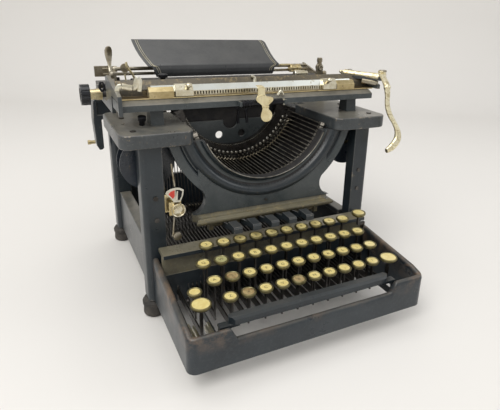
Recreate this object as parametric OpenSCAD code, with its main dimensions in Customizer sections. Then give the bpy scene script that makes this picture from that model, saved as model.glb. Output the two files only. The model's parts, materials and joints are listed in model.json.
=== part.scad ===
// Front-strike desk typewriter with a four-row keyboard.
// Millimetres, +Z up, +Y away from the typist, origin on the desk
// below the middle of the machine.

/* [Frame] */
// Depth from the front of the keyboard to the back of the rear posts
machine_d = 356; // [350:1:380]
// Width over the corner posts
frame_w = 285; // [280:1:300]
// Width of a corner post, side to side
post_w = 23; // [20:1:28]
// Depth of a corner post, front to back
post_d = 26; // [22:1:30]
// Corner radius of a post on its outer side
post_round = 6; // [2:0.5:9]
// How far the keyboard stands out in front of the posts
keyboard_d = 125.5; // [122:0.5:130]
// Height of the lower edge of the base above the desk
base_z = 22.5; // [20:0.5:30]
// Height of the side rails of the base
side_rail_h = 57.6; // [40:1:70]
// Thickness of the rail webs and of the rear panel
rail_t = 6; // [4:0.5:9]
// Height of the top edge of the rear panel above the desk
rear_panel_top = 92; // [80:1:120]

/* [Keyboard surround] */
// Width of the surround
surround_w = 272.6; // [268:0.2:276]
// Wall thickness of the surround
surround_t = 6; // [4:0.5:8]
// Radius of the two front corners
surround_round = 15; // [8:1:20]
// Top of the front wall above the desk
front_wall_top = 58; // [54:0.5:60]
// Top of the side walls above the desk at their front end
side_wall_front = 66; // [60:0.5:70]
// Top of the side walls above the desk at the posts
side_wall_rear = 72; // [68:0.5:80]
// Depth of the dip in the front wall for the thumb
thumb_dip = 12; // [4:0.5:14]

/* [Top plates] */
// Height of the top of the plates above the desk
top_z = 214.9; // [212:0.1:217]
// Height of the skirt under the edge of a plate
skirt_h = 14.7; // [12:0.1:16]
// Thickness of the plate and of its skirt
plate_t = 5; // [4:0.5:6]
// Half the width over both plates
plate_out = 161; // [156:0.5:166]
// Half the gap between the two plates
plate_in = 85.7; // [85.5:0.1:88]
// Depth of a plate, front to back
plate_d = 123; // [118:1:126]
// Radius of the corners of a plate
plate_round = 13; // [6:1:16]

/* [Keys] */
// Spacing of the keys in a row
key_pitch = 19.05; // [18.5:0.05:19.5]
// Spacing of the rows, front to back
row_pitch = 18.85; // [17.5:0.05:19]
// Rise from one row to the next
row_rise = 9.9; // [8:0.1:11]
// Distance of the first row from the front of the keyboard
first_row_y = 33.5; // [33:0.1:36]
// Height of the first row's key tops above the desk
first_row_z = 71; // [68:0.2:73]
// Diameter of a key top
key_d = 14.6; // [12:0.2:15.4]
// Height of a key top
key_h = 4.6; // [3.5:0.1:6]
// Thickness of a key lever
lever_t = 1.5; // [1.2:0.1:2]
// Height of a key lever
lever_h = 8; // [6:0.5:9]
// Height of the lever pivots above the desk
fulcrum_z = 38; // [36:0.5:42]
// Distance of the lever pivots from the front of the keyboard
fulcrum_y = 337; // [334:1:340]
// Diameter of the rod that the levers turn on
fulcrum_d = 5; // [4:0.5:7]
// Clearance of a lever's bore round its rod, on the radius
bore_gap = 0.06; // [0.03:0.01:0.1]
// Diameter of the two shift key tops
shift_d = 20; // [18:0.5:22]
// Length of the space bar
space_l = 186; // [174:1:190]
// Width of the space bar
space_w = 12; // [9:0.5:13]

/* [Type basket] */
// Height of the axis of the type basket above the desk
basket_z = 230.8; // [229:0.2:232]
// Inner radius of the front arch
arch_r = 79; // [78:0.5:80]
// Width of the arch, from its inner to its outer radius
arch_band = 37; // [34:0.5:40]
// Radius of the circle of typebar pivots
pivot_r = 87; // [86:0.5:87.5]
// Distance of the typebar pivots from the front of the keyboard
pivot_y = 230; // [228:0.5:232]
// Number of typebars
typebars = 42; // [20:2:44]
// Angle of the outermost typebar from straight down
typebar_span = 72; // [60:1:73]
// Thickness of a typebar
typebar_t = 1.3; // [0.9:0.1:1.6]
// Clearance on each side of a typebar in its slot
slot_gap = 0.3; // [0.2:0.05:0.4]
// Height of a type head
type_h = 5.5; // [4.5:0.5:6]
// Diameter of the wire that the typebars turn on
pivot_wire_d = 2; // [1.6:0.1:2.4]

/* [Carriage] */
// Place of the carriage, to the right of the middle
carriage_x = 5; // [-40:1:40]
// Distance between the outer faces of the end plates
carriage_w = 322; // [320:1:330]
// Thickness of an end plate
end_t = 4; // [3:0.5:5]
// Diameter of the platen
platen_d = 34; // [30:0.5:35]
// Length of the platen
platen_l = 254; // [240:1:262]
// Height of the platen's axis above the desk
platen_z = 234; // [232:0.5:236]
// Diameter of the platen's shaft
shaft_d = 7; // [5:0.5:8]
// How far the shift raises the platen
shift_rise = 6.5; // [5:0.5:7]
// Diameter of the platen knob
knob_d = 24; // [20:1:27]
// Clearance between the platen and a type head at the printing point
strike_gap = 0.5; // [0.3:0.1:1]
// Height of the front rail's top above the desk
rail_top = 242; // [240:0.1:243]
// Running clearance of the carriage over its rails
rail_gap = 0.3; // [0.1:0.1:0.5]
// Width of the paper table
paper_w = 190; // [170:1:200]
// Pitch of the teeth on the margin rack
rack_pitch = 3.2; // [2.5:0.1:5]

/* [Ribbon] */
// Diameter of a ribbon spool
spool_d = 58; // [50:1:59]
// Width of a ribbon spool
spool_w = 20; // [14:1:22]
// Distance of the spools from the middle of the machine
spool_x = 128.5; // [126:0.5:131]
// Height of the spools' axis above the desk
spool_z = 174.5; // [172:0.5:176]

/* [Hidden] */
$fn = 48;
eps = 0.01;

// Colours
enamel = [0.13, 0.15, 0.17];
worn_enamel = [0.24, 0.23, 0.21];
nickel = [0.78, 0.76, 0.68];
brass = [0.75, 0.62, 0.33];
dark_steel = [0.2, 0.19, 0.18];
cream = [0.9, 0.84, 0.6];
rubber = [0.12, 0.11, 0.1];

// Frame stations, measured from the front of the keyboard
post_x = frame_w / 2 - post_w / 2;
post_in = frame_w / 2 - post_w;
front_post_y = keyboard_d;
rear_post_y = machine_d - post_d;
foot_r = 12.5;
foot_x = frame_w / 2 - 8;
foot_h = base_z;
skirt_z = top_z - skirt_h;
plate_y = keyboard_d - 7;
plate_rear = plate_y + plate_d;
spool_y = plate_y + 38;
rim_in = 1;
upright_top = 217;
upright_z = 165;
panel_y = machine_d - 2 - rail_t / 2;

// Keyboard stations
quarter = key_pitch / 4;
home_count = 11;
first_key_x = -5 * key_pitch - 1.5;
lever_z = fulcrum_z - lever_h / 2;
lever_top = fulcrum_z + lever_h / 2;
lever_boss_r = lever_h / 2 + 2;
stem_w = 3;
space_x = 0.5;
space_y = surround_t + 1.5 + space_w / 2;
space_z = 64;
space_h = 8;
space_lever_x = [first_key_x - quarter, first_key_x + 42 * quarter];
shift_x = [-113.5, 108.5];
shift_y = 29.8;
shift_z = 73;
back_space_x = 104.5;
back_space_lever_x = 113.6;
guide_y = 107.7;
guide_t = 10;
guide_z = 74;

// Type basket stations
typebar_l = pivot_r + 2.5;
segment_y = pivot_y - 8;
segment_back = pivot_y + 4;
segment_in = pivot_r - 7;
segment_out = pivot_r + 9;
flange_in = pivot_r - 19;
arch_y = keyboard_d + 1.5;
arch_back = arch_y + 11.6;
arch_out = arch_r + arch_band;
moulding_top = 117;
moulding_z = 107.5;
moulding_w = 88;
bar_half_head = 1.8;
left_bar = round(typebars * 0.36);
right_bar = typebars - 1 - left_bar;

// Carriage stations
platen_r = platen_d / 2;
platen_y = pivot_y + type_h + strike_gap + platen_r;
rail_y = 147;
rail_d = 34;
rear_rail_y = rear_post_y - 5;
rear_rail_d = 12;
rear_rail_top = 231;
bar_z = rail_top + rail_gap;
end_in = carriage_w / 2 - end_t;
end_y = 152;
end_rear = rear_rail_y - 8;
rack_y = 160;
rack_z = 249.4;
strip_t = 1.6;
drum_r = 28;
pinion_r = 7.5;
wheel_z = 207;

// Outlines and placing -------------------------------------------------

// Moves what is measured from the front of the keyboard to the origin
module from_front() {
    translate([0, -machine_d / 2, 0]) children();
}

module on_carriage() {
    translate([carriage_x, -machine_d / 2, 0]) children();
}

// Extrudes a (y, z) outline along X, centred on x
module across(x, width) {
    translate([x - width / 2, 0, 0]) rotate([90, 0, 90]) linear_extrude(width) children();
}

// Extrudes an (x, z) outline backwards from y
module backwards(y, depth) {
    translate([0, y + depth, 0]) rotate([90, 0, 0]) linear_extrude(depth) children();
}

// A round bar along X from x, or along Y from y
module bar_x(x, length, r, y, z) {
    translate([x, y, z]) rotate([0, 90, 0]) cylinder(h = length, r = r);
}

module bar_y(y, length, r, x, z) {
    translate([x, y, z]) rotate([-90, 0, 0]) cylinder(h = length, r = r);
}

// A straight round rod between two points
module rod(a, b, r) {
    d = b - a;
    flat = norm([d[0], d[1]]);
    translate(a) rotate([0, atan2(flat, d[2]), atan2(d[1], d[0])]) cylinder(h = norm(d), r = r);
}

module both_sides() {
    children();
    mirror([1, 0, 0]) children();
}

// Rectangle with round corners, from its lower left corner
module round_rect(w, d, r) {
    translate([r, 0]) square([w - 2 * r, d]);
    translate([0, r]) square([w, d - 2 * r]);
    for (x = [r, w - r], y = [r, d - r]) translate([x, y]) circle(r);
}

function arc(cx, cy, r, a, b, n) =
    [for (i = [0:n]) [cx + r * cos(a + (b - a) * i / n), cy + r * sin(a + (b - a) * i / n)]];

// Frame ----------------------------------------------------------------

module surround_outline(inset) {
    w = surround_w - 2 * inset;
    translate([-w / 2, inset])
        union() {
            translate([surround_round, 0]) square([w - 2 * surround_round, surround_round + 1]);
            translate([0, surround_round]) square([w, keyboard_d - surround_round - inset]);
            for (x = [surround_round, w - surround_round]) translate([x, surround_round]) circle(surround_round);
        }
}

// Tray wall round the keyboard, open at the back and underneath
module keyboard_surround() {
    dip_w = space_l + 6;
    rim_d = 3;
    color(enamel) from_front() difference() {
        intersection() {
            translate([0, 0, base_z]) linear_extrude(side_wall_rear) surround_outline(0);
            union() {
                translate([-surround_w / 2, 0, base_z])
                    cube([surround_w, surround_round + 10, front_wall_top - base_z]);
                both_sides() across(surround_w / 2 - surround_round / 2, surround_round)
                    polygon([[surround_round - 3, base_z], [keyboard_d, base_z], [keyboard_d, side_wall_rear],
                             [surround_round + 5, side_wall_front], [surround_round - 3, front_wall_top]]);
            }
        }
        // the wall is thinner below its rim
        translate([0, 0, base_z - 1]) linear_extrude(front_wall_top - base_z - 7)
            surround_outline(surround_t);
        translate([0, 0, base_z + 1]) linear_extrude(side_wall_rear) surround_outline(surround_t + rim_in);
        translate([-surround_w / 2 + surround_t, keyboard_d - surround_t - rim_d, base_z - 1])
            cube([surround_w - 2 * surround_t, surround_t + 2 * rim_d, side_wall_rear]);
        // dip for the thumb in front of the space bar
        backwards(-1, surround_t + 3)
            polygon([[space_x - dip_w / 2, front_wall_top + 1], [space_x + dip_w / 2, front_wall_top + 1],
                     [space_x + dip_w / 2 - thumb_dip / 2, front_wall_top - thumb_dip],
                     [space_x - dip_w / 2 + thumb_dip / 2, front_wall_top - thumb_dip]]);
    }
}

// Rails between the posts, low at the base and high under the top plates
module side_rails() {
    flange_t = 7;
    flange_w = 15;
    high_h = 12;
    high_y = plate_rear - 11;
    web_x = surround_w / 2 - rail_t;
    color(worn_enamel) from_front() both_sides() {
        translate([web_x, front_post_y + post_d, base_z])
            cube([rail_t, rear_post_y - front_post_y - post_d, side_rail_h]);
        translate([web_x + rail_t - flange_w, front_post_y + post_d, base_z + side_rail_h - flange_t])
            cube([flange_w, rear_post_y - front_post_y - post_d, flange_t]);
        translate([web_x - 4, high_y, skirt_z - high_h]) cube([rail_t + 4, rear_post_y - high_y, high_h]);
    }
}

module post_outline() {
    translate([post_in, 0]) square([post_w - post_round, post_d]);
    translate([post_in + post_round, post_round]) square([post_w - post_round, post_d - 2 * post_round]);
    for (y = [post_round, post_d - post_round]) translate([frame_w / 2 - post_round, y]) circle(post_round);
}

module corner_posts() {
    web_d = 16;
    flange_w = 8;
    color(enamel) from_front() both_sides() {
        translate([0, front_post_y, base_z]) linear_extrude(skirt_z - base_z) difference() {
            post_outline();
            translate([post_in - 1, web_d]) square([post_w - flange_w + 1, post_d]);
        }
        translate([0, rear_post_y, base_z]) linear_extrude(upright_z - base_z) post_outline();
    }
}

// A rubber foot in its cup
module rubber_foot() {
    cup_h = 9;
    rotate_extrude() polygon(concat(
        [[0, 0]], arc(foot_r - 3.5, 3.5, 3.5, -90, 0, 5),
        [[foot_r - 0.6, foot_h - cup_h - 1], [foot_r + 0.4, foot_h - cup_h], [foot_r + 0.6, foot_h - 5],
         [foot_r - 1.5, foot_h - 1.5], [foot_r - 4, foot_h], [0, foot_h]]));
}

module rubber_feet() {
    color(rubber) from_front() both_sides()
        for (y = [front_post_y + post_d / 2, rear_post_y + post_d / 2])
            translate([foot_x, y, 0]) rubber_foot();
}

// Heads of the rear posts, which carry the rear rail, and the rear panel
module rear_frame() {
    ear_x = frame_w / 2 + 18;
    ear_z = upright_z - 20;
    ear_w = 9;
    pocket = 4;
    color(enamel) from_front() {
        both_sides() difference() {
            backwards(rear_post_y, post_d - 2) polygon([[post_in, upright_z], [frame_w / 2, upright_z],
                [frame_w / 2 + 3, upright_z + 22], [ear_x - ear_w, upright_z + 22], [ear_x - ear_w, ear_z + 2],
                [ear_x - 6, ear_z], [ear_x - 3, ear_z], [ear_x, ear_z + 6], [ear_x + 1.5, ear_z + 40],
                [ear_x, upright_top - 5], [ear_x - 5, upright_top], [post_in, upright_top]]);
            translate([post_in + pocket, rear_post_y - 1, upright_z + 28])
                cube([ear_x - post_in - 2 * pocket, pocket + 1, upright_top - upright_z - 34]);
            // relief under the escapement rack
            translate([post_in - 1, rear_rail_y + rear_rail_d + 6, upright_top - 3]) cube([ear_x, post_d, 4]);
        }
        translate([-post_in, panel_y - rail_t / 2, base_z]) cube([2 * post_in, rail_t, rear_panel_top - base_z]);
    }
}

module plate_outline(inset) {
    w = plate_out - plate_in - 2 * inset;
    translate([plate_in + inset, plate_y + inset]) round_rect(w, plate_d - 2 * inset, plate_round - inset);
}

// Plate on each side of the type basket, hollow over the ribbon spool
module top_plates() {
    pocket_y = rail_y + 2;
    notch_w = segment_out + 4;
    color(worn_enamel) from_front() both_sides() difference() {
        translate([0, 0, skirt_z]) linear_extrude(skirt_h) plate_outline(0);
        translate([0, 0, skirt_z - 1]) linear_extrude(skirt_h - plate_t + 1) intersection() {
            plate_outline(plate_t);
            translate([0, pocket_y]) square([plate_out, plate_d]);
        }
        translate([plate_in - 1, segment_y - 1, skirt_z - 1]) cube([notch_w - plate_in + 1, plate_d, skirt_h + 2]);
    }
}

// Type basket ----------------------------------------------------------

// Turns a (radius, forward) outline round the basket's axis, lower half only
module basket_ring() {
    translate([0, 0, basket_z]) rotate([90, 0, 0]) rotate([0, 0, 180])
        rotate_extrude(angle = 180, $fn = 96) children();
}

// What lies between the two outermost typebars, with a margin in degrees
module basket_sector(r, y, depth, margin) {
    a = typebar_span + margin;
    reach = r * 1.5;
    translate([0, 0, basket_z]) backwards(y, depth)
        polygon([[0, 0], [-reach * sin(a), -reach * cos(a)], [-reach * sin(a), -reach * 2],
                 [reach * sin(a), -reach * 2], [reach * sin(a), -reach * cos(a)]]);
}

// Moulded arch in front of the type basket, with its apron and the typebar rest
module front_arch() {
    band = arch_r + 17.5;
    groove = arch_r + 24.5;
    apron_t = 8;
    waist_z = 134.3;
    waist_r = 17.3;
    waist_x = 91;
    web_y = arch_y + 2.6;
    rest_r = pivot_r + bar_half_head + 0.4;
    color(enamel) from_front() {
        difference() {
            union() {
                intersection() {
                    basket_ring() polygon(concat(
                        [[arch_r, -arch_back], [arch_r, -arch_y - 2.2], [arch_r + 1.2, -arch_y - 1.2],
                         [arch_r + 3, -arch_y - 2.4]],
                        arc(arch_r + 7.5, -arch_y - 1.5, 4.6, 200, 330, 6),
                        arc(band, -arch_y - 6.4, 6.4, 150, 30, 8),
                        arc(groove, -arch_y - 3.2, 2.2, 180, 360, 5),
                        [[arch_r + 28, -web_y], [arch_out, -web_y], [arch_out, -arch_back]]));
                    translate([-arch_out, 0, moulding_top]) cube([2 * arch_out, machine_d, skirt_z - moulding_top]);
                }
                difference() {
                    translate([-moulding_w, web_y, moulding_top])
                        cube([2 * moulding_w, apron_t, basket_z - arch_r - moulding_top + 20]);
                    both_sides() {
                        bar_y(web_y - 1, apron_t + 2, waist_r, waist_x, waist_z);
                        translate([waist_x - 9.4, web_y - 1, waist_z + 13.9]) cube([20, apron_t + 2, 50]);
                    }
                    bar_y(web_y - 1, apron_t + 2, arch_r + 22, 0, basket_z);
                }
            }
        }
        intersection() {
            basket_ring() translate([rest_r, -arch_back - 8]) square([3.4, 9]);
            basket_sector(rest_r, arch_back - 1, 12, -9);
        }
    }
}

// Ogee moulding at the foot of the arch, with the pivot of the column keys
module arch_base_moulding() {
    lug_x = 66;
    lug_t = 5;
    nose_y = arch_y - 9;
    back_y = arch_back - 1;
    color(worn_enamel) from_front() {
        difference() {
            across(0, 2 * moulding_w) polygon(concat(
                [[back_y, moulding_z], [nose_y + 2, moulding_z], [nose_y, moulding_z + 2]],
                arc(nose_y + 1.5, moulding_z + 3.4, 1.8, 200, 90, 4),
                arc(nose_y + 7.4, moulding_top + 0.6, 5, 220, 350, 6),
                [[arch_y + 2.6, moulding_top], [back_y, moulding_top]]));
            both_sides() translate([moulding_w, nose_y, moulding_z - 1]) rotate([0, 0, 40])
                translate([0, -10, 0]) cube([20, 22, 20]);
        }
        both_sides() translate([lug_x, column_pivot_y - 4, column_pivot_z - 4])
            cube([lug_t, 8, moulding_z - column_pivot_z + 4]);
        bar_x(-lug_x - 1, 2 * lug_x + 2, column_pivot_d / 2, column_pivot_y, column_pivot_z);
    }
}

function bar_angle(i) = -typebar_span + 2 * typebar_span * i / (typebars - 1);

// A typebar's own axes: X along its pivot, -Y along the bar at rest, +Z to the axis
module at_typebar(i) {
    translate([0, pivot_y, basket_z]) rotate([0, -bar_angle(i), 0]) translate([0, 0, -pivot_r]) children();
}

// Slotted half ring that holds the typebars, with the pivot wire across its slots and its screws
module type_segment() {
    slot_w = typebar_t + 2 * slot_gap;
    wire_seat = 1;
    slot_back = segment_back - pivot_y - 0.4;
    flange_y = segment_back + 2.5;
    arm_r = 3;
    arm_at = pivot_r + 8.5;
    screw_r = (flange_in + segment_in) / 2;
    color(dark_steel) from_front() {
        difference() {
            union() {
                intersection() {
                    basket_ring() union() {
                        translate([segment_in, -segment_back - 8]) square([segment_out - segment_in, segment_back + 8 - segment_y]);
                        translate([flange_in, -segment_back - 8])
                            square([segment_in - flange_in + 1, segment_back + 8 - flange_y]);
                    }
                    basket_sector(segment_out, segment_y - 1, 40, 3.5);
                }
                for (a = [-50, 0, 50])
                    translate([arm_at * sin(a), 0, basket_z - arm_at * cos(a)])
                        bar_y(arch_back, segment_y - arch_back + 1, arm_r, 0, 0);
            }
            for (i = [0:typebars - 1]) at_typebar(i)
                translate([-slot_w / 2, -12, -14]) cube([slot_w, 12 + slot_back, 26]);
        }
        for (i = [0:typebars - 2]) translate([0, 0, basket_z]) rotate([0, -(bar_angle(i) + bar_angle(i + 1)) / 2, 0])
            bar_y(flange_y - 0.8, 1, 1.5, 0, -screw_r);
        for (i = [0:typebars - 1]) at_typebar(i)
            bar_x(-slot_w / 2 - wire_seat, slot_w + 2 * wire_seat, pivot_wire_d / 2, 0, 0);
    }
}

// One typebar: pivot boss, tapered shank, type head and heel
module typebar() {
    boss_r = 3.2;
    heel_l = 10.6;
    head_l = 6;
    head_w = 3.6;
    difference() {
        union() {
            across(0, typebar_t) polygon([[1.5, 2.3], [-typebar_l + head_l, 1.5], [-typebar_l + 1, 1.5],
                [-typebar_l + 1, -1.5], [-typebar_l + head_l, -bar_half_head], [0, -2.3]]);
            bar_x(-typebar_t / 2, typebar_t, boss_r, 0, 0);
            across(0, typebar_t) polygon([[-2, 0], [2, 0], [1.6, -heel_l], [-1.6, -heel_l]]);
            across(0, head_w) polygon([[-typebar_l, 0.8], [-typebar_l + head_l, 0.8], [-typebar_l + head_l - 0.8, type_h],
                [-typebar_l + 0.8, type_h]]);
        }
        bar_x(-typebar_t, 2 * typebar_t, pivot_wire_d / 2 + bore_gap, 0, 0);
    }
}

module typebars_resting() {
    color(dark_steel) from_front() for (i = [0:typebars - 1])
        if (i != left_bar && i != right_bar) at_typebar(i) typebar();
}

module typebar_left() {
    color(nickel) from_front() at_typebar(left_bar) typebar();
}

module typebar_right() {
    color(nickel) from_front() at_typebar(right_bar) typebar();
}

// Plate behind the segment, cut out under the printing point
module basket_back_plate() {
    plate_top = 195;
    notch_r = 10;
    hole_r = 5;
    back_t = 3;
    y = segment_back + 8;
    color(enamel) from_front() difference() {
        bar_y(y, back_t, segment_in - 1, 0, basket_z);
        translate([-segment_in, y - 1, plate_top]) cube([2 * segment_in, back_t + 2, 2 * segment_in]);
        bar_y(y - 1, back_t + 2, notch_r, 0, plate_top - 2);
        translate([-notch_r, y - 1, plate_top - 2]) cube([2 * notch_r, back_t + 2, 10]);
        for (x = [-16, 16]) bar_y(y - 1, back_t + 2, hole_r, x, 175.5);
    }
}

function key_lever_x(i) = first_key_x + quarter * i;
function heel_point(i) = let(r = pivot_r + 10) [r * sin(bar_angle(i)), pivot_y, basket_z - r * cos(bar_angle(i))];

// Wires from the typebars' heels down to the key levers
module connecting_wires() {
    wire_r = 0.5;
    color(dark_steel) from_front() for (i = [0:typebars - 1])
        if (i != left_bar && i != right_bar)
            rod(heel_point(i), [key_lever_x(i), pivot_y, lever_top + 1], wire_r);
}

// Keyboard -------------------------------------------------------------

// A lever with its stem, before its top is put on; jog moves the key sideways
module key_lever(x, y, top, jog = 0, width = lever_t) {
    stem_base = fulcrum_z;
    difference() {
        union() {
            translate([x - lever_t / 2, y - stem_w / 2, lever_z]) cube([lever_t, fulcrum_y - y + stem_w / 2, lever_h]);
            bar_x(x - lever_t / 2, lever_t, lever_boss_r, fulcrum_y, fulcrum_z);
            if (jog == 0)
                translate([x - width / 2, y - stem_w / 2, stem_base]) cube([width, stem_w, top - stem_base]);
            else {
                translate([x - lever_t / 2, y - stem_w / 2, stem_base]) cube([lever_t, stem_w, top - 9 - stem_base]);
                translate([min(x, x + jog) - lever_t / 2, y - stem_w / 2, top - 12]) cube([abs(jog) + lever_t, stem_w, 3]);
                translate([x + jog - lever_t / 2, y - stem_w / 2, top - 12]) cube([lever_t, stem_w, 12]);
            }
        }
        bar_x(x - lever_t, 2 * lever_t, fulcrum_d / 2 + bore_gap, fulcrum_y, fulcrum_z);
    }
}

// A key top: a ring with a dished disc in it
module key_top(x, y, z, d) {
    translate([x, y, z - key_h]) rotate_extrude() polygon(
        [[0, 0], [d / 2 - 2.2, 0], [d / 2 - 0.7, 1.2], [d / 2, key_h - 1.4], [d / 2, key_h - 0.5],
         [d / 2 - 0.5, key_h], [d / 2 - 1.3, key_h], [d / 2 - 1.8, key_h - 0.6], [0, key_h - 0.6]]);
}

module key(x, y, z, d = key_d, jog = 0) {
    color(dark_steel) key_lever(x, y, z - key_h, jog);
    color(cream) key_top(x + jog, y, z, d);
}

// Rows counted from the front: offset in quarter pitches and number of keys
row_offset = [3, 1, 0, 2];
row_count = [10, 11, 11, 10];
row_y = [for (r = [0:3]) first_row_y + row_pitch * r];
row_z = [for (r = [0:3]) first_row_z + row_rise * r];

module row_key(row, i) {
    key(first_key_x + quarter * (row_offset[row] + 4 * i), row_y[row], row_z[row]);
}

module key_row(row) {
    for (i = [0:row_count[row] - 1]) row_key(row, i);
}

// The second row from the front, one node for each key
module home_key(i) {
    from_front() row_key(1, i - 1);
}

module home_key_1() home_key(1);
module home_key_2() home_key(2);
module home_key_3() home_key(3);
module home_key_4() home_key(4);
module home_key_5() home_key(5);
module home_key_6() home_key(6);
module home_key_7() home_key(7);
module home_key_8() home_key(8);
module home_key_9() home_key(9);
module home_key_10() home_key(10);
module home_key_11() home_key(11);

module bottom_row_keys() {
    from_front() key_row(0);
}

module upper_row_keys() {
    from_front() key_row(2);
}

module number_row_keys() {
    from_front() key_row(3);
}

// Space bar on a lever at each end
module space_bar() {
    tab_h = 3;
    tab_l = 20;
    chamfer = 2.5;
    corner = 4.5;
    bar_bottom = space_z - space_h;
    y = space_y;
    end_x = space_l / 2;
    side_y = space_w / 2;
    color(dark_steel) from_front() {
        intersection() {
            across(space_x, space_l) polygon([[y - side_y, bar_bottom], [y + side_y, bar_bottom],
                [y + side_y, space_z - chamfer], [y + side_y - chamfer, space_z],
                [y - side_y + chamfer, space_z], [y - side_y, space_z - chamfer]]);
            translate([space_x, y, bar_bottom - 1]) linear_extrude(space_h + 2)
                polygon([[-end_x, side_y - corner], [-end_x, corner - side_y], [corner - end_x, -side_y],
                         [end_x - corner, -side_y], [end_x, corner - side_y], [end_x, side_y - corner],
                         [end_x - corner, side_y], [corner - end_x, side_y]]);
        }
        for (s = [0, 1]) {
            x = space_lever_x[s];
            inward = s == 0 ? 0 : lever_t - tab_l;
            key_lever(x, y, bar_bottom);
            translate([x - lever_t / 2 + inward, y - 4, bar_bottom - tab_h]) cube([tab_l, 8, tab_h]);
        }
    }
}

// Left shift, with the lug that the lock is pinned to
module shift_key_left() {
    color(dark_steel) from_front() {
        key_lever(shift_x[0], shift_y, shift_z - key_h, 0, 2 * lever_t);
        difference() {
            translate([shift_x[0] + lever_t / 2, lock_pivot_y - 4, lever_z + 1]) cube([1.5, 8, lever_top - lever_z + 7]);
            translate([shift_x[0], lock_pivot_y + 3, lock_pivot_z + 2.5]) cube([5, 5, 9]);
        }
        bar_x(shift_x[0] - 1.5, 4, lock_pin_d / 2, lock_pivot_y, lock_pivot_z);
    }
    color(cream) from_front() key_top(shift_x[0], shift_y, shift_z, shift_d);
}

// Latch key that rides on the left shift lever
module shift_lock() {
    y = shift_y + row_pitch;
    top = 75;
    arm_z = lever_top + 2;
    color(dark_steel) from_front() difference() {
        union() {
            translate([shift_x[0] - lever_t / 2, y - stem_w / 2, arm_z]) cube([lever_t, lock_pivot_y - y + 3, 4]);
            bar_x(shift_x[0] - lever_t / 2, lever_t, 3.2, lock_pivot_y, lock_pivot_z);
            translate([shift_x[0] - lever_t / 2, y - stem_w / 2, arm_z]) cube([lever_t, stem_w, top - key_h - arm_z]);
        }
        bar_x(shift_x[0] - lever_t, 2 * lever_t, lock_pin_d / 2 + bore_gap, lock_pivot_y, lock_pivot_z);
    }
    color(cream) from_front() key_top(shift_x[0], y, top, key_d - 1);
}

module shift_key_right() {
    color(dark_steel) from_front() key_lever(shift_x[1], shift_y, shift_z - key_h, 0, 2 * lever_t);
    color(cream) from_front() key_top(shift_x[1], shift_y, shift_z, shift_d);
}

module back_space_key() {
    from_front() key(back_space_lever_x, row_y[3] - 4, row_z[3] + 5.5, key_d + 1.5, back_space_x - back_space_lever_x);
}

// Pin of the shift lock
lock_pivot_y = 76;
lock_pivot_z = lever_top + 4.5;
lock_pin_d = 2.4;

// Five keys of the column stops, on one pivot under the moulding
column_count = 5;
column_pitch = 22;
column_x = -53;
column_z = 115.5;
column_pivot_y = arch_y + 4;
column_pivot_z = 101;
column_pivot_d = 4;

module column_keys() {
    block = [9.5, 19.5, 6.8];
    y = 84.5;
    under = column_z - block[2];
    arm_t = 3;
    color(dark_steel) from_front() for (i = [0:column_count - 1]) {
        x = column_x + column_pitch * i;
        across(x, block[0]) polygon([[y, under], [y + block[1], under], [y + block[1], column_z - 1],
            [y + block[1] - 1.5, column_z], [y + 1.5, column_z], [y, column_z - 1.5]]);
        difference() {
            across(x, arm_t) polygon([[column_pivot_y, column_pivot_z - 2.8], [column_pivot_y, column_pivot_z + 2.8],
                [y + 20, under + 0.5], [y + 15.5, under + 0.5], [y + 15.5, under - 3], [y + 40, column_pivot_z - 2.8]]);
            bar_x(x - arm_t, 2 * arm_t, column_pivot_d / 2 + 1, column_pivot_y, column_pivot_z);
        }
        difference() {
            bar_x(x - arm_t / 2, arm_t, column_pivot_d / 2 + 2, column_pivot_y, column_pivot_z);
            bar_x(x - arm_t, 2 * arm_t, column_pivot_d / 2 + bore_gap, column_pivot_y, column_pivot_z);
        }
    }
}

// Cross bar behind the keys, ledge in front of it, and the comb that guides the levers
module lever_guides() {
    inner = surround_w / 2 - surround_t - rim_in;
    comb_t = 4;
    comb_y = guide_y + 3;
    comb_top = 61;
    tooth_z = base_z + 3;
    slot = lever_t + 0.8;
    levers = concat([for (i = [0:42]) key_lever_x(i)], [space_lever_x[0], space_lever_x[1], back_space_lever_x], shift_x);
    color(enamel) from_front() {
        translate([-inner, guide_y, guide_z]) cube([2 * inner, guide_t, 7]);
        translate([-inner, comb_y, comb_top]) cube([2 * inner, comb_t, guide_z - comb_top]);
        difference() {
            translate([-inner, comb_y, tooth_z]) cube([2 * inner, comb_t, comb_top - tooth_z]);
            for (x = levers) translate([x - slot / 2, comb_y - 1, tooth_z - 1])
                cube([slot, comb_t + 2, lever_top + 4 - tooth_z]);
        }
    }
    color(brass) from_front() translate([-inner, guide_y - 14, comb_top]) cube([2 * inner, comb_y - guide_y + 14, 2.5]);
}

// Rod that every key lever turns on, seated in the rear posts
module lever_fulcrum() {
    color(nickel) from_front() bar_x(-post_in, 2 * post_in, fulcrum_d / 2, fulcrum_y, fulcrum_z);
}

// Carriage rails and the pieces fixed to the frame ---------------------

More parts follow.
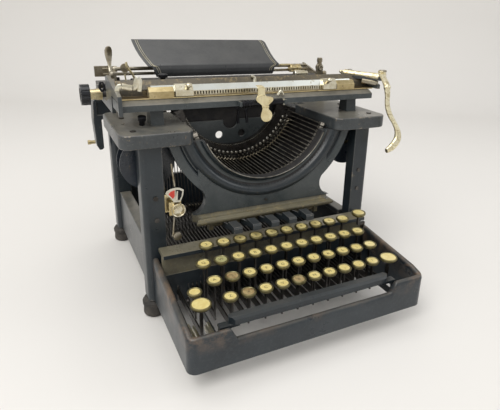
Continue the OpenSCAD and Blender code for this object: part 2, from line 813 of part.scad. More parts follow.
// Front rail on its two blocks, and the rear rail on the post heads
module carriage_rails() {
    rail_half = 155.5;
    block_w = 14;
    nose = 4;
    color(enamel) from_front() {
        across(0, 2 * rail_half) polygon([[rail_y, rail_top - 10.2], [rail_y + rail_d, rail_top - 10.2],
            [rail_y + rail_d, rail_top - 1], [rail_y + rail_d - 1, rail_top], [rail_y + nose + 4, rail_top],
            [rail_y, rail_top - nose]]);
        bar_x(-29, 58, release_rod_r, release_axis_y, release_axis_z);
        for (x = [-27.5, 27.5]) translate([x - 1.5, release_axis_y - 2.5, release_axis_z - 2.5])
            cube([3, rail_y - release_axis_y + 3, 5]);
        for (x = [-116, 131]) across(x, block_w) polygon([[rail_y + 8, top_z], [rail_y + 26, top_z],
            [rail_y + 24, rail_top - 10.2], [rail_y + 10, rail_top - 10.2]]);
        translate([-frame_w / 2 - 4, rear_rail_y + 5, upright_top])
            cube([frame_w + 8, rear_rail_d, rear_rail_top - upright_top]);
    }
}

// Spool spindles under the top plates and the plate of the ribbon selector
module ribbon_brackets() {
    hanger_t = 3;
    hanger_y = spool_y + spool_w + 6;
    selector_t = 3;
    color(brass) from_front() {
        both_sides() {
            translate([spool_x - 9, hanger_y, spool_z - 9]) cube([18, hanger_t, top_z - plate_t - spool_z + 9]);
            bar_y(hanger_y - spool_w - 4, spool_w + 5, spindle_r, spool_x, spool_z);
        }
        difference() {
            translate([-post_in, keyboard_d + 4, selector_z - 7]) cube([post_in + selector_x + 7, selector_t, 20]);
            bar_y(keyboard_d, 10, selector_pin_d / 2 + bore_gap, selector_x, selector_z);
        }
    }
}

spindle_r = 3;
selector_x = -(post_in - 11);
selector_z = 133;
selector_pin_d = 4;

// End-of-line bell on a stalk from the rear panel
module bell() {
    x = -88;
    y = panel_y - rail_t / 2 - 22;
    z = 74;
    shell = 1.5;
    r = 17;
    color(brass) from_front() {
        difference() {
            intersection() {
                translate([x, y, z]) sphere(r);
                translate([x - r, y - r, z]) cube([2 * r, 2 * r, r]);
            }
            translate([x, y, z]) sphere(r - shell);
        }
        translate([x, y, z - 6]) cylinder(h = r + 8, r = 2);
        translate([x - 4, y - 4, z - 9]) cube([8, panel_y - rail_t / 2 - y + 4, 4]);
    }
}

// Plates under the rear rail with the shafts of the drum and the escape wheel
module escapement_bracket() {
    t = 4;
    y = rear_rail_y + rear_rail_d + 5;
    color(dark_steel) from_front() {
        translate([-13, y, wheel_z - 12]) cube([26, t, rear_rail_top - wheel_z + 8]);
        bar_y(y, machine_d - y, wheel_shaft_d / 2, 0, wheel_z);
        translate([drum_x - 12, y, drum_z - 12]) cube([24, t, rear_rail_top - drum_z + 8]);
        bar_y(y, machine_d - y, drum_shaft_d / 2, drum_x, drum_z);
    }
}

wheel_shaft_d = 5;
drum_shaft_d = 6;
drum_x = -(post_in - drum_r - 6.5);
drum_z = 180;

// Screws in the faces of the front posts and of the arch
module frame_screws() {
    head_h = 0.9;
    color(nickel) from_front() {
        both_sides() for (z = [120.2, 144.9])
            bar_y(front_post_y - head_h, head_h, 2.6, post_x - 2, z);
        bar_y(arch_y + 2.6 - head_h, head_h, 1.6, 0, 123);
        both_sides() for (y = [plate_y + 18, plate_rear - 40])
            translate([plate_out - 16, y, top_z]) cylinder(h = head_h, r = 3);
    }
}

// Lever that lets the carriage past the margin stops, on its roller in front of the rail
module margin_release_lever() {
    roller_r = 4.2;
    face_y = release_axis_y - roller_r - 2.2;
    color(brass) from_front() translate([release_mid_x, 0, 0]) backwards(face_y, 2.4) difference() {
        union() {
            translate([0, release_z + 1]) circle(r = 9);
            translate([-4, release_z + 4]) square([8, 7.5]);
            translate([-3.6, release_z - 22]) square([7.2, 20]);
            translate([0, release_z - 23.5]) circle(r = 6.2);
        }
        both_sides() translate([7, release_z - 11]) circle(r = 4.2);
    }
    color(dark_steel) from_front() difference() {
        bar_x(-24, 48, roller_r, release_axis_y, release_axis_z);
        bar_x(-25, 50, release_rod_r + bore_gap, release_axis_y, release_axis_z);
    }
}

release_mid_x = -1;
release_z = 240;
release_axis_y = rail_y - 5.4;
release_axis_z = release_z - 5;
release_rod_r = 1.5;

// Carriage -------------------------------------------------------------

// Section of the scale on its rack, grown by a gap, down to a given height
function scale_section(gap, low) = [[rack_y - 1 - gap, low], [rack_y - 1 - gap, rack_z - gap],
    [rack_y - 2.5 - gap, rack_z - gap], [rack_y + 0.4 - gap, rack_z + 7.2 + gap], [rack_y + 1.6 + gap, rack_z + 7.2 + gap],
    [rack_y + 1 + gap, rack_z], [rack_y + 1 + gap, low]];

// Strip over the front rail, the leaning guide bar behind it and its end blocks
module carriage_front_bar() {
    w = 2 * end_in;
    block_w = 26;
    block_at = carriage_w / 2 - 46;
    color(brass) on_carriage() {
        across(0, w) polygon([[end_y + 3, bar_z], [end_y + 17, bar_z], [end_y + 17, bar_z + strip_t],
            [end_y + 3, bar_z + strip_t]]);
        for (s = [-1, 1]) difference() {
            across(s * block_at, block_w) polygon([[rack_y - 5, bar_z + strip_t], [rack_y + 5, bar_z + strip_t],
                [rack_y + 5, rack_z + 9], [rack_y - 1, rack_z + 9], [rack_y - 5, rack_z + 4]]);
            across(s * block_at, block_w + 2) polygon(scale_section(0, bar_z));
        }
    }
    color(worn_enamel) on_carriage() difference() {
        across(0, w) polygon([[end_y + 17, bar_z], [end_y + 24, bar_z], [end_y + 28, rack_z + 9],
            [end_y + 25, rack_z + 10], [end_y + 17, rack_z + 1]]);
        return_arm(return_arm_l + 2, 12);
    }
}

// Arm under the pivot of the return lever
module return_arm(l, h) {
    translate([return_x, return_y, return_z - 4.5]) rotate([0, 0, 128]) translate([0, -5, 0]) cube([l, 10, h]);
}

// Bar that rolls on the rear rail, with the escapement rack under it
module carriage_rear_bar() {
    w = 2 * end_in;
    y = rear_rail_y - 10;
    rack_back = rear_rail_y + rear_rail_d + 5 + 10;
    rack_low = wheel_z + pinion_r + 1;
    teeth = 84;
    pitch = 2.8;
    color(dark_steel) on_carriage() {
        translate([-w / 2, y, rear_rail_top + rail_gap]) cube([w, rack_back - y, 5]);
        difference() {
            translate([-pitch * teeth / 2 - 4, rack_back - 5, rack_low])
                cube([pitch * teeth + 8, 5, rear_rail_top + rail_gap - rack_low + 1]);
            for (i = [0:teeth]) translate([pitch * (i - teeth / 2) - pitch / 4, rack_back - 6, rack_low - 1])
                cube([pitch / 2, 7, 3.4]);
        }
        for (x = [-w / 2 + 20, w / 2 - 20]) translate([x - 6, y, rear_rail_top + rail_gap + 5]) cube([12, 6, 8]);
    }
}

// Outline of an end plate: over the front rail, then low towards the rear bar
end_low = rail_top - 18;
function end_profile() = [[end_y - 6.5, bar_z + 1], [end_y - 6.5, bar_z + 6], [end_y, bar_z + 8],
    [end_y + 59, bar_z + 18.5], [end_y + 69, bar_z + 16], [end_y + 71, end_low + 6], [end_rear - 14, end_low + 6],
    [end_rear - 8, bar_z - 6], [end_rear, bar_z - 6], [end_rear, end_low], [rail_y + rail_d + 6, end_low],
    [rail_y + rail_d + 3, bar_z + 1]];

// Plates that close the carriage at each end, and the fingers on its front corners
module carriage_end_plates() {
    finger_y = rail_y - 5;
    at = carriage_w / 2 - end_t / 2;
    color(worn_enamel) on_carriage() {
        both_sides() across(at, end_t) polygon(end_profile());
        across(-at, end_t) polygon([[end_y - 6, bar_z + 6], [end_y - 6, bar_z + 1], [finger_y + 3.6, rail_top - 13],
            [finger_y, rail_top - 13], [finger_y, bar_z + 1], [end_y - 8, bar_z + 6]]);
        translate([at - end_t / 2, end_y, bar_z + 5]) cube([end_t, 9, return_z - 0.5 - bar_z - 5]);
    }
    color(brass) on_carriage() return_arm(return_arm_l, 4);
    color(brass) on_carriage() translate([return_x, return_y, return_z - 4.5]) {
        cylinder(h = 4, r = 6.5);
        cylinder(h = 9, r = return_pin_r);
        rotate([0, 0, 128]) translate([45, 0, 4]) cylinder(h = 1.5, r = 3.6);
    }
}

// Nickel scale with the rack of the margin stops under it
module margin_scale() {
    w = 2 * end_in - 22;
    rack_t = 2;
    teeth = floor((w - 2 * 34) / rack_pitch);
    foot = bar_z + strip_t;
    color(nickel) on_carriage() {
        difference() {
            translate([-w / 2, rack_y - rack_t / 2, foot]) cube([w, rack_t, rack_z - foot]);
            for (i = [0:teeth - 1]) translate([rack_pitch * (i - (teeth - 1) / 2) - rack_pitch / 4, rack_y - rack_t, foot + 1])
                cube([rack_pitch / 2, 2 * rack_t, rack_z - foot - 2]);
        }
        across(0, w) polygon([[rack_y - 2.5, rack_z], [rack_y + 1, rack_z], [rack_y + 1.6, rack_z + 7.2],
            [rack_y + 0.4, rack_z + 7.2]]);
    }
}

// Margin stop: a block that straddles the scale, with its finger knob
module margin_stop(side) {
    x = side * stop_at;
    w = 19;
    gap = 0.35;
    color(nickel) on_carriage() {
        difference() {
            across(x, w) polygon([[rack_y - 5.5, bar_z + 2.2], [rack_y + 4.2, bar_z + 2.2], [rack_y + 4.2, rack_z + 9.5],
                [rack_y - 1.5, rack_z + 9.5], [rack_y - 5.5, rack_z + 2]]);
            across(x, w + 1) polygon(scale_section(gap, bar_z));
        }
        translate([x - side * 3.5, rack_y - 3.5, rack_z + 2.5]) rotate([40, 0, 0]) cylinder(h = 8, r = 2.2);
        translate([x - side * 3.5, rack_y - 9, rack_z + 9]) sphere(3.6);
    }
}

stop_at = 91;
module margin_stop_left() margin_stop(-1);
module margin_stop_right() margin_stop(1);

// Frame that the shift raises: side brackets, rods and feed rollers
module platen_frame() {
    bracket_at = frame_bracket_x;
    t = 3;
    roller_r = 4.8;
    roller_y = platen_y + 7;
    roller_z = platen_z - sqrt(pow(platen_r + roller_r + 0.3, 2) - 49);
    rod_y = paper_rod_y;
    tag_w = 22;
    color(dark_steel) on_carriage() {
        both_sides() {
            difference() {
                across(bracket_at, t) polygon([[platen_y - 7, platen_z - 7], [platen_y - 7, platen_z + 6],
                    [platen_y + 6, platen_z + 12], [rod_y + 5, platen_z + 26], [rod_y + 5, platen_z + 12],
                    [platen_y + 12, platen_z - 10], [platen_y + 12, roller_z - 4], [platen_y + 2, roller_z - 4]]);
                bar_x(bracket_at - t, 2 * t, shaft_d / 2 + bore_gap, platen_y, platen_z);
            }
        }
        bar_x(-bracket_at - 8, 2 * bracket_at + 8, 2.4, rod_y, platen_z + 22);
        bar_x(-bracket_at - 8, 2 * bracket_at + 8, paper_rod_r, rod_y, paper_rod_z);
        translate([-bracket_at - 17.5, rod_y - 1.5, platen_z + 13]) cube([tag_w, 3, 12.5]);
        across(-bracket_at, t) polygon([[release_y - 5, platen_z + 8], [release_y + 6, platen_z + 12],
            [release_y + 4, release_h + 3], [release_y, release_h + 4.5], [release_y - 4, release_h + 3]]);
        bar_x(-bracket_at - 6, 7, release_pin_r, release_y, release_h);
        bar_x(-bracket_at, 2 * bracket_at, 1.5, roller_y, roller_z);
    }
    color(rubber) on_carriage() for (x = [-90, -30, 30, 90]) bar_x(x - 18, 36, roller_r, roller_y, roller_z);
}

paper_y = platen_y + platen_r + 3;
paper_z = 248;
paper_x = -11;
paper_t = 1.4;
paper_rod_r = 2;
paper_rod_y = paper_y + 36;
paper_rod_z = platen_z + 15.5;

// Curved sheet that carries the paper behind the platen
module paper_table() {
    lean = 49;
    rise = 44;
    curl_r = 13;
    flare = 5;
    // front face of the sheet: a curl at the bottom, then a straight lean
    bend = 38;
    lower = arc(paper_y + curl_r, paper_z + 8, curl_r, 205, 180 - bend, 6);
    knee = lower[len(lower) - 1];
    top = [paper_y + lean, paper_z + rise];
    back = arc(paper_y + curl_r, paper_z + 8, curl_r - paper_t, 180 - bend, 205, 6);
    slope = (top[1] - knee[1]) / (top[0] - knee[0]);
    arm_w = 6;
    color(worn_enamel) on_carriage() {
        intersection() {
            across(paper_x, paper_w + 4 * flare) polygon(concat(lower, [top, top + paper_t * [0.52, -0.85]], back));
            translate([paper_x, 0, 0]) backwards(0, machine_d) polygon([[-paper_w / 2 + 7, paper_z - 20],
                [paper_w / 2 - 7, paper_z - 20], [paper_w / 2 - 7, paper_z + 6], [paper_w / 2, paper_z + 14],
                [paper_w / 2 + 1, paper_z + 24], [paper_w / 2 + 5, paper_z + rise + 5],
                [-paper_w / 2 - 5, paper_z + rise + 5], [-paper_w / 2 - 1, paper_z + 24],
                [-paper_w / 2, paper_z + 14], [-paper_w / 2 + 7, paper_z + 6]]);
        }
        // arms to the lower cross rod
        for (x = [paper_x - 60, paper_x + 60]) difference() {
            union() {
                bar_x(x - arm_w / 2, arm_w, paper_rod_r + 1.8, paper_rod_y, paper_rod_z);
                across(x, arm_w) polygon([[paper_rod_y - 1, paper_rod_z - 3], [paper_rod_y - 1, paper_rod_z + 1],
                    [knee[0] + 18, knee[1] + 18 * slope - paper_t], [knee[0] + 8, knee[1] + 8 * slope - paper_t]]);
            }
            bar_x(x - arm_w, 2 * arm_w, paper_rod_r, paper_rod_y, paper_rod_z);
        }
    }
}

// Rubber roller on its shaft
module platen() {
    color(rubber) on_carriage() bar_x(-platen_l / 2, platen_l, platen_r, platen_y, platen_z);
    color(nickel) on_carriage() bar_x(-carriage_w / 2 - 1, carriage_w + 2, shaft_d / 2, platen_y, platen_z);
}

// Fluted knob and its two-stepped hub
module platen_knob() {
    hub_l = 13.6;
    knob_l = 10;
    flutes = 12;
    x = -carriage_w / 2 - 1;
    color(brass) on_carriage() {
        bar_x(x - hub_l / 2, hub_l / 2, 6.6, platen_y, platen_z);
        bar_x(x - hub_l, hub_l / 2, 6, platen_y, platen_z);
    }
    color(rubber) on_carriage() difference() {
        bar_x(x - hub_l - knob_l, knob_l, knob_d / 2, platen_y, platen_z);
        for (i = [0:flutes - 1]) rotate_about(i * 360 / flutes)
            bar_x(x - hub_l - knob_l + 2, knob_l, 1.8, platen_y, platen_z + knob_d / 2 + 0.8);
        bar_x(x - hub_l - knob_l - 1, 3, knob_d / 2 - 4, platen_y, platen_z);
    }
}

module rotate_about(a) {
    translate([0, platen_y, platen_z]) rotate([a, 0, 0]) translate([0, -platen_y, -platen_z]) children();
}

// Toothed wheel that sets the lines
module line_ratchet() {
    teeth = 24;
    r = 14.5;
    t = 5;
    color(nickel) on_carriage() difference() {
        bar_x(platen_l / 2, t, r, platen_y, platen_z);
        for (i = [0:teeth - 1]) rotate_about(i * 360 / teeth)
            translate([platen_l / 2 - 1, platen_y, platen_z + r - 2.2]) rotate([30, 0, 0]) cube([t + 2, 2, 5]);
        bar_x(platen_l / 2 - 1, t + 2, shaft_d / 2, platen_y, platen_z);
    }
}

frame_bracket_x = end_in - 12.5;
release_pin_r = 1.6;
release_x = -frame_bracket_x - 3.7;
release_y = platen_y + 10;
release_h = bar_z + 12;

// Spoon-shaped lever that frees the feed rollers
module paper_release_lever() {
    color(nickel) on_carriage() {
        difference() {
            union() {
                bar_x(release_x - 2, 4, 4.5, release_y, release_h);
                across(release_x, 2.6) polygon([[release_y - 3, release_h], [release_y + 3, release_h],
                    [release_y + 1.6, release_h + 20], [release_y - 1.6, release_h + 20]]);
            }
            bar_x(release_x - 3, 6, release_pin_r + bore_gap, release_y, release_h);
        }
        translate([release_x, release_y, release_h + 24]) difference() {
            scale([1, 0.5, 1.6]) sphere(4.6);
            translate([0, -4.2, 0]) scale([1, 0.6, 1.4]) sphere(4.2);
        }
    }
}

return_x = 164;
return_y = end_y - 4;
return_z = bar_z + 15.7;
return_pin_r = 2.5;
return_arm_l = 50;

// Long S-shaped lever that draws the carriage back
module return_lever() {
    hub_h = 6;
    stem_r = 2.6;
    band_w = 5.2;
    paddle_w = 7;
    band_t = 4.4;
    tilt = 7;
    elbow = [-20.2, -36.4, -8];
    // centre line of the band as (x, z), from the elbow to the foot of the paddle
    line = [[-19.9, -6], [-19.3, -15], [-19.3, -19.7], [-19.4, -24.4], [-18.5, -30.4], [-15.8, -37.7], [-11.9, -44],
        [-7.8, -49.7], [-3.6, -56.7], [-1.4, -63.1], [-1.6, -69.3], [-4.6, -74.8], [-11.1, -80.2], [-18.8, -83.8]];
    last = len(line) - 1;
    side = [for (i = [0:last]) let(d = line[min(i + 1, last)] - line[max(i - 1, 0)]) [-d[1], d[0]] / norm(d)];
    half = [for (i = [0:last]) (i < 7 ? band_w : i < 9 ? (band_w + paddle_w) / 2 : i == last ? paddle_w * 0.6 : paddle_w) / 2];
    color(brass) on_carriage() translate([return_x, return_y, return_z]) {
        difference() {
            union() {
                cylinder(h = hub_h, r = 5.5);
                translate([0, 0, hub_h]) cylinder(h = 2.5, r1 = 4.4, r2 = 3.2);
                rod([-1, -4, 3], elbow, stem_r);
            }
            translate([0, 0, -1]) cylinder(h = hub_h, r = return_pin_r + bore_gap);
        }
        translate(elbow) sphere(stem_r + 0.5);
        translate([0, -35.6, 0]) rotate([-tilt, 0, 0]) backwards(-band_t / 2, band_t)
            polygon(concat([for (i = [0:last]) line[i] + half[i] * side[i]],
                           [for (i = [last:-1:0]) line[i] - half[i] * side[i]]));
    }
}

// Ribbon and escapement ------------------------------------------------

module ribbon_spool(s) {
    y = spool_y;
    flange_t = 1.4;
    color(dark_steel) from_front() difference() {
        union() {
            bar_y(y, flange_t, spool_d / 2, s * spool_x, spool_z);
            bar_y(y + spool_w - flange_t, flange_t, spool_d / 2, s * spool_x, spool_z);
            bar_y(y, spool_w, spool_d / 2 - 7, s * spool_x, spool_z);
        }
        bar_y(y - 1, spool_w + 2, spindle_r + bore_gap, s * spool_x, spool_z);
    }
}

module ribbon_spool_left() ribbon_spool(-1);
module ribbon_spool_right() ribbon_spool(1);

// Cup-shaped button with its fan of two windows
module ribbon_selector() {
    face_y = keyboard_d - 3;
    fan_r = 26;
    color(nickel) from_front() {
        difference() {
            bar_y(face_y - 7, 7, 6.5, selector_x, selector_z);
            bar_y(face_y - 8, 6, 5.2, selector_x, selector_z);
        }
        bar_y(face_y, 12, selector_pin_d / 2, selector_x, selector_z);
        translate([selector_x, 0, selector_z]) backwards(face_y, 1.6)
            polygon(concat([[0, 3], [-3, 3]], arc(-4, 0, fan_r, 115, 66, 8), [[3, 3]]));
    }
}

module mainspring_drum() {
    y = rear_rail_y + rear_rail_d + 10;
    color(brass) from_front() difference() {
        union() {
            bar_y(y, 8, drum_r, drum_x, drum_z);
            bar_y(y - 0.5, 9, drum_r - 10, drum_x, drum_z);
        }
        bar_y(y - 1, 10, drum_shaft_d / 2 + bore_gap, drum_x, drum_z);
    }
}

// Toothed escape wheel with its pinion
module escape_wheel() {
    y = rear_rail_y + rear_rail_d + 10;
    teeth = 24;
    wheel_r = 15;
    color(brass) from_front() difference() {
        union() {
            bar_y(y, 5, pinion_r - 0.5, 0, wheel_z);
            bar_y(y + 5.4, 2.2, wheel_r, 0, wheel_z);
            bar_y(y + 5, 0.5, 5, 0, wheel_z);
        }
        bar_y(y - 1, 12, wheel_shaft_d / 2 + bore_gap, 0, wheel_z);
        for (i = [0:teeth - 1]) translate([0, y + 5, wheel_z]) rotate([0, i * 360 / teeth, 0])
            translate([0, 0, wheel_r - 2]) rotate([0, 30, 0]) cube([1.6, 4, 5]);
    }
}

keyboard_surround();
side_rails();
corner_posts();
rubber_feet();
rear_frame();
top_plates();
front_arch();
arch_base_moulding();
type_segment();
typebars_resting();
basket_back_plate();
connecting_wires();
lever_guides();
lever_fulcrum();
carriage_rails();
ribbon_brackets();
bell();
escapement_bracket();
frame_screws();
space_bar();
home_key_1();
home_key_2();
home_key_3();
home_key_4();
home_key_5();
home_key_6();
home_key_7();
home_key_8();
home_key_9();
home_key_10();
home_key_11();
bottom_row_keys();
upper_row_keys();
number_row_keys();
shift_key_left();
shift_lock();
shift_key_right();
back_space_key();
column_keys();
typebar_left();
typebar_right();
margin_release_lever();
carriage_front_bar();
carriage_rear_bar();
carriage_end_plates();
margin_scale();
margin_stop_left();
margin_stop_right();
platen_frame();
paper_table();
platen();
platen_knob();
line_ratchet();
paper_release_lever();
return_lever();
ribbon_spool_left();
ribbon_spool_right();
ribbon_selector();
mainspring_drum();
escape_wheel();
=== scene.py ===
import json
import math

import bmesh
import bpy
from mathutils import Matrix, Vector

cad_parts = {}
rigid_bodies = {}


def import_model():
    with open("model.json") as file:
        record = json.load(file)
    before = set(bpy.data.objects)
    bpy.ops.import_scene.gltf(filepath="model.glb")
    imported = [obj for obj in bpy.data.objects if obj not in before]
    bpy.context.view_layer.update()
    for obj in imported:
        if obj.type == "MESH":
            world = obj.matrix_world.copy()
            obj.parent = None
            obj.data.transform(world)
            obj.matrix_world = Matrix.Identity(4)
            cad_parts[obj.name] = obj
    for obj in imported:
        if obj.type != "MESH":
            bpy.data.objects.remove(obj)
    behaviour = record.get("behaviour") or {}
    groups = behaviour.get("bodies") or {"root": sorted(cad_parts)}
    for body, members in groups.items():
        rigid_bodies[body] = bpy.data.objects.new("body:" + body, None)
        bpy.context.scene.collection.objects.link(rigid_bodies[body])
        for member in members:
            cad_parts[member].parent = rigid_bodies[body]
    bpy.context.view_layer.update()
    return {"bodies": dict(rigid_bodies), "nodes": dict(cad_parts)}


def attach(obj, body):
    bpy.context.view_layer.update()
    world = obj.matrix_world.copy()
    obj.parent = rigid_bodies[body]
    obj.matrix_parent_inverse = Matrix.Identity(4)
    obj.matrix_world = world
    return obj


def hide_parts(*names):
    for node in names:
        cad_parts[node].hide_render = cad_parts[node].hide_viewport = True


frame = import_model()
nodes = frame["nodes"]

# Measures are in mm, with y counted from the front of the keyboard; at() turns them into metres.
HALF_DEPTH = 178.0              # from the front of the keyboard back to the origin
CARRIAGE_X = 5.0                # the carriage stands this far right of the middle
BASKET_Z = 230.8                # height of the axis that the typebars lie round
BASKET_HALF = 66                # degrees that the basket reaches to either side of its lowest point
PLATEN_Y, PLATEN_Z = 253, 234   # axis of the platen
ACROSS, BACK, UP, FRONT = (1, 0, 0), (0, 1, 0), (0, 0, 1), (0, -1, 0)


def at(x, y, z):
    """A point of the shared frame, in metres, from one in mm."""
    return Vector((x, y - HALF_DEPTH, z)) / 1000


def circle(count):
    """Cosines and sines of evenly spaced angles, once round."""
    return [(math.cos(2 * math.pi * i / count), math.sin(2 * math.pi * i / count)) for i in range(count)]


def in_basket(radius, degrees, y):
    """A point at a distance from the basket's axis, with the angle counted from straight down."""
    a = math.radians(degrees)
    return radius * math.sin(a), y, BASKET_Z - radius * math.cos(a)


# Camera ------------------------------------------------------------------

def make_camera():
    """The photograph's viewpoint, solved from the keys, posts and rails."""
    data = bpy.data.cameras.new("camera")
    cam = bpy.data.objects.new("camera", data)
    bpy.context.collection.objects.link(cam)
    right = Vector((0.89131196, -0.45225650, 0.03204746))
    up = Vector((0.12635595, 0.31566306, 0.94042065))
    forward = Vector((0.43542756, 0.83415879, -0.33849956))
    turn = Matrix((right, up, -forward)).transposed().to_4x4()
    turn.translation = Vector((-0.22442218, -0.50483619, 0.32946784))
    cam.matrix_world = turn
    data.sensor_fit, data.sensor_width = "HORIZONTAL", 36
    data.lens = 33.4456
    data.shift_x, data.shift_y = -0.0534335, -0.0485242
    data.clip_start, data.clip_end = 0.01, 20
    bpy.context.scene.camera = cam


make_camera()


# Materials ---------------------------------------------------------------

class Look:
    """A material whose nodes are made by short calls."""

    def __init__(self, name, roughness=0.4, metallic=0.0):
        self.material = bpy.data.materials.new(name)
        self.material.use_nodes = True
        self.tree = self.material.node_tree
        self.bsdf = self.tree.nodes["Principled BSDF"]
        self.bsdf.inputs["Roughness"].default_value = roughness
        self.bsdf.inputs["Metallic"].default_value = metallic
        self.where = self.node("ShaderNodeTexCoord").outputs["Object"]

    def node(self, kind, **values):
        made = self.tree.nodes.new(kind)
        for key, value in values.items():
            if hasattr(made, key):
                setattr(made, key, value)
            else:
                made.inputs[key.replace("_", " ")].default_value = value
        return made

    def join(self, a, b):
        self.tree.links.new(a, b)

    def put(self, value, slot):
        """Links a socket, or writes a number or a colour."""
        if isinstance(value, bpy.types.NodeSocket):
            self.join(value, slot)
        else:
            slot.default_value = (*value, 1) if hasattr(value, "__len__") else value

    def noise(self, scale, detail, roughness):
        made = self.node("ShaderNodeTexNoise", Scale=scale, Detail=detail, Roughness=roughness)
        self.join(self.where, made.inputs["Vector"])
        return made.outputs["Fac"]

    def ramp(self, value, *stops):
        """Stops are pairs of a place and a colour or grey."""
        made = self.node("ShaderNodeValToRGB")
        line = made.color_ramp.elements
        while len(line) < len(stops):
            line.new(0.5)
        for element, (place, colour) in zip(line, stops):
            element.position = place
            element.color = (*colour, 1) if hasattr(colour, "__len__") else (colour, colour, colour, 1)
        self.join(value, made.inputs["Fac"])
        return made.outputs["Color"]

    def mix(self, fac, a, b):
        made = self.node("ShaderNodeMix", data_type="RGBA")
        for value, place in ((fac, 0), (a, 6), (b, 7)):
            self.put(value, made.inputs[place])
        return made.outputs[2]

    def product(self, a, b):
        made = self.node("ShaderNodeMath", operation="MULTIPLY", use_clamp=True)
        self.put(a, made.inputs[0])
        self.put(b, made.inputs[1])
        return made.outputs[0]

    def spread(self, value, low, high, end):
        """Maps a value from between two limits (end From) to 0 and 1, or the other way (end To)."""
        made = self.node("ShaderNodeMapRange")
        self.join(value, made.inputs["Value"])
        made.inputs[end + " Min"].default_value, made.inputs[end + " Max"].default_value = low, high
        return made.outputs["Result"]

    def rising(self, source, low, high):
        """0 where the z of a vector is low, 1 where it is high."""
        apart = self.node("ShaderNodeSeparateXYZ")
        self.join(source, apart.inputs[0])
        return self.spread(apart.outputs["Z"], low, high, "From")

    def upward(self, low, high):
        """1 where the surface faces up, 0 where it faces sideways."""
        return self.rising(self.node("ShaderNodeNewGeometry").outputs["Normal"], low, high)

    def colour(self, value):
        self.join(value, self.bsdf.inputs["Base Color"])

    def rough(self, value, low, high):
        self.join(self.spread(value, low, high, "To"), self.bsdf.inputs["Roughness"])

    def metal(self, value):
        self.join(value, self.bsdf.inputs["Metallic"])

    def bump(self, value, depth, strength):
        made = self.node("ShaderNodeBump", Strength=strength, Distance=depth)
        self.join(value, made.inputs["Height"])
        self.join(made.outputs["Normal"], self.bsdf.inputs["Normal"])


def enamel_look(name, dark, light, dust_and_sheen, worn=0.0, rub=(0.20, 0.145, 0.085)):
    """Old japanned enamel, lighter on top with dust and a painted sheen; the higher worn is, the more of it
    is rubbed to the colour rub.
    """
    look = Look(name)
    rub_at = 0.66 - worn
    cloud = look.noise(16, 6, 0.7)
    fine = look.noise(380, 4, 0.7)
    base = look.ramp(cloud, (0.32, dark), (0.68, light))
    base = look.mix(look.ramp(fine, (0.5, 0.0), (0.85, 0.3)), base, tuple(c * 2.2 for c in light))
    # Faces that look up mix towards dust_and_sheen: dust, and a painted sheen where light falls on the
    # tops.
    dust_and_sheen_mask = look.product(look.upward(0.35, 0.95),
                         look.ramp(look.noise(26, 6, 0.75), (0.3, 0.15), (0.7, 1.0)))
    base = look.mix(dust_and_sheen_mask, base, dust_and_sheen)
    chips = look.ramp(look.noise(110, 6, 0.78), (rub_at, 0.0), (rub_at + 0.05, 1.0))
    base = look.mix(look.product(chips, 0.8), base, rub)
    specks = look.ramp(look.noise(800, 2, 0.5), (0.71, 0.0), (0.75, 1.0))
    base = look.mix(look.product(specks, 0.3), base, (0.30, 0.28, 0.24))
    look.colour(base)
    look.rough(look.noise(30, 5, 0.65), 0.18, 0.44)
    look.bump(fine, 0.0002, 0.22)
    return look.material


def tray_look(name):
    """Enamel of the keyboard tray, rubbed to brown iron along its rim."""
    look = Look(name)
    fine = look.noise(380, 4, 0.7)
    base = look.ramp(look.noise(16, 6, 0.7), (0.32, (0.008, 0.013, 0.018)), (0.68, (0.022, 0.030, 0.037)))
    base = look.mix(look.ramp(fine, (0.5, 0.0), (0.85, 0.5)), base, (0.06, 0.07, 0.075))
    # Faces that look up mix towards a lighter brown-grey: dust, and a painted sheen on the tops.
    dust_and_sheen_mask = look.product(look.upward(0.3, 0.95), look.ramp(look.noise(30, 6, 0.75), (0.3, 0.1), (0.7, 0.9)))
    base = look.mix(dust_and_sheen_mask, base, (0.10, 0.090, 0.075))
    rim = look.rising(look.where, 0.040, 0.062)
    rubbed = look.product(rim, look.ramp(look.noise(38, 7, 0.75), (0.46, 0.0), (0.62, 1.0)))
    base = look.mix(look.product(rubbed, 0.75), base, (0.17, 0.115, 0.075))
    look.colour(base)
    look.rough(look.noise(30, 5, 0.65), 0.18, 0.44)
    look.bump(fine, 0.0002, 0.25)
    return look.material


def metal_look(name, bright, stained, spots, roughness, scale=60, stain_at=0.5):
    """Plated metal with stained patches and rusty spots; scale is the fineness of the patches."""
    look = Look(name, roughness, 1.0)
    patches = look.ramp(look.noise(scale, 6, 0.7), (stain_at - 0.14, 0.0), (stain_at + 0.14, 1.0))
    base = look.mix(patches, bright, stained)
    rust = look.ramp(look.noise(scale * 3.1, 5, 0.75), (0.60, 0.0), (0.68, 1.0))
    base = look.mix(look.product(rust, 0.8), base, spots)
    look.colour(base)
    look.rough(look.noise(scale * 3, 3, 0.6), roughness - 0.06, roughness + 0.12)
    look.metal(look.ramp(rust, (0.0, 1.0), (1.0, 0.55)))
    look.bump(look.noise(scale * 4, 2, 0.5), 0.0001, 0.12)
    return look.material


def rubber_look(name, colour, lighter, gloss=0.5):
    """A dull surface in two mottled shades, also used for ink and paint; gloss is its lowest roughness."""
    look = Look(name, 0.7)
    look.colour(look.mix(look.ramp(look.noise(90, 5, 0.7), (0.4, 0.0), (0.72, 1.0)), colour, lighter))
    look.rough(look.noise(160, 3, 0.6), gloss, gloss + 0.35)
    look.bump(look.noise(600, 2, 0.6), 0.0001, 0.3)
    return look.material


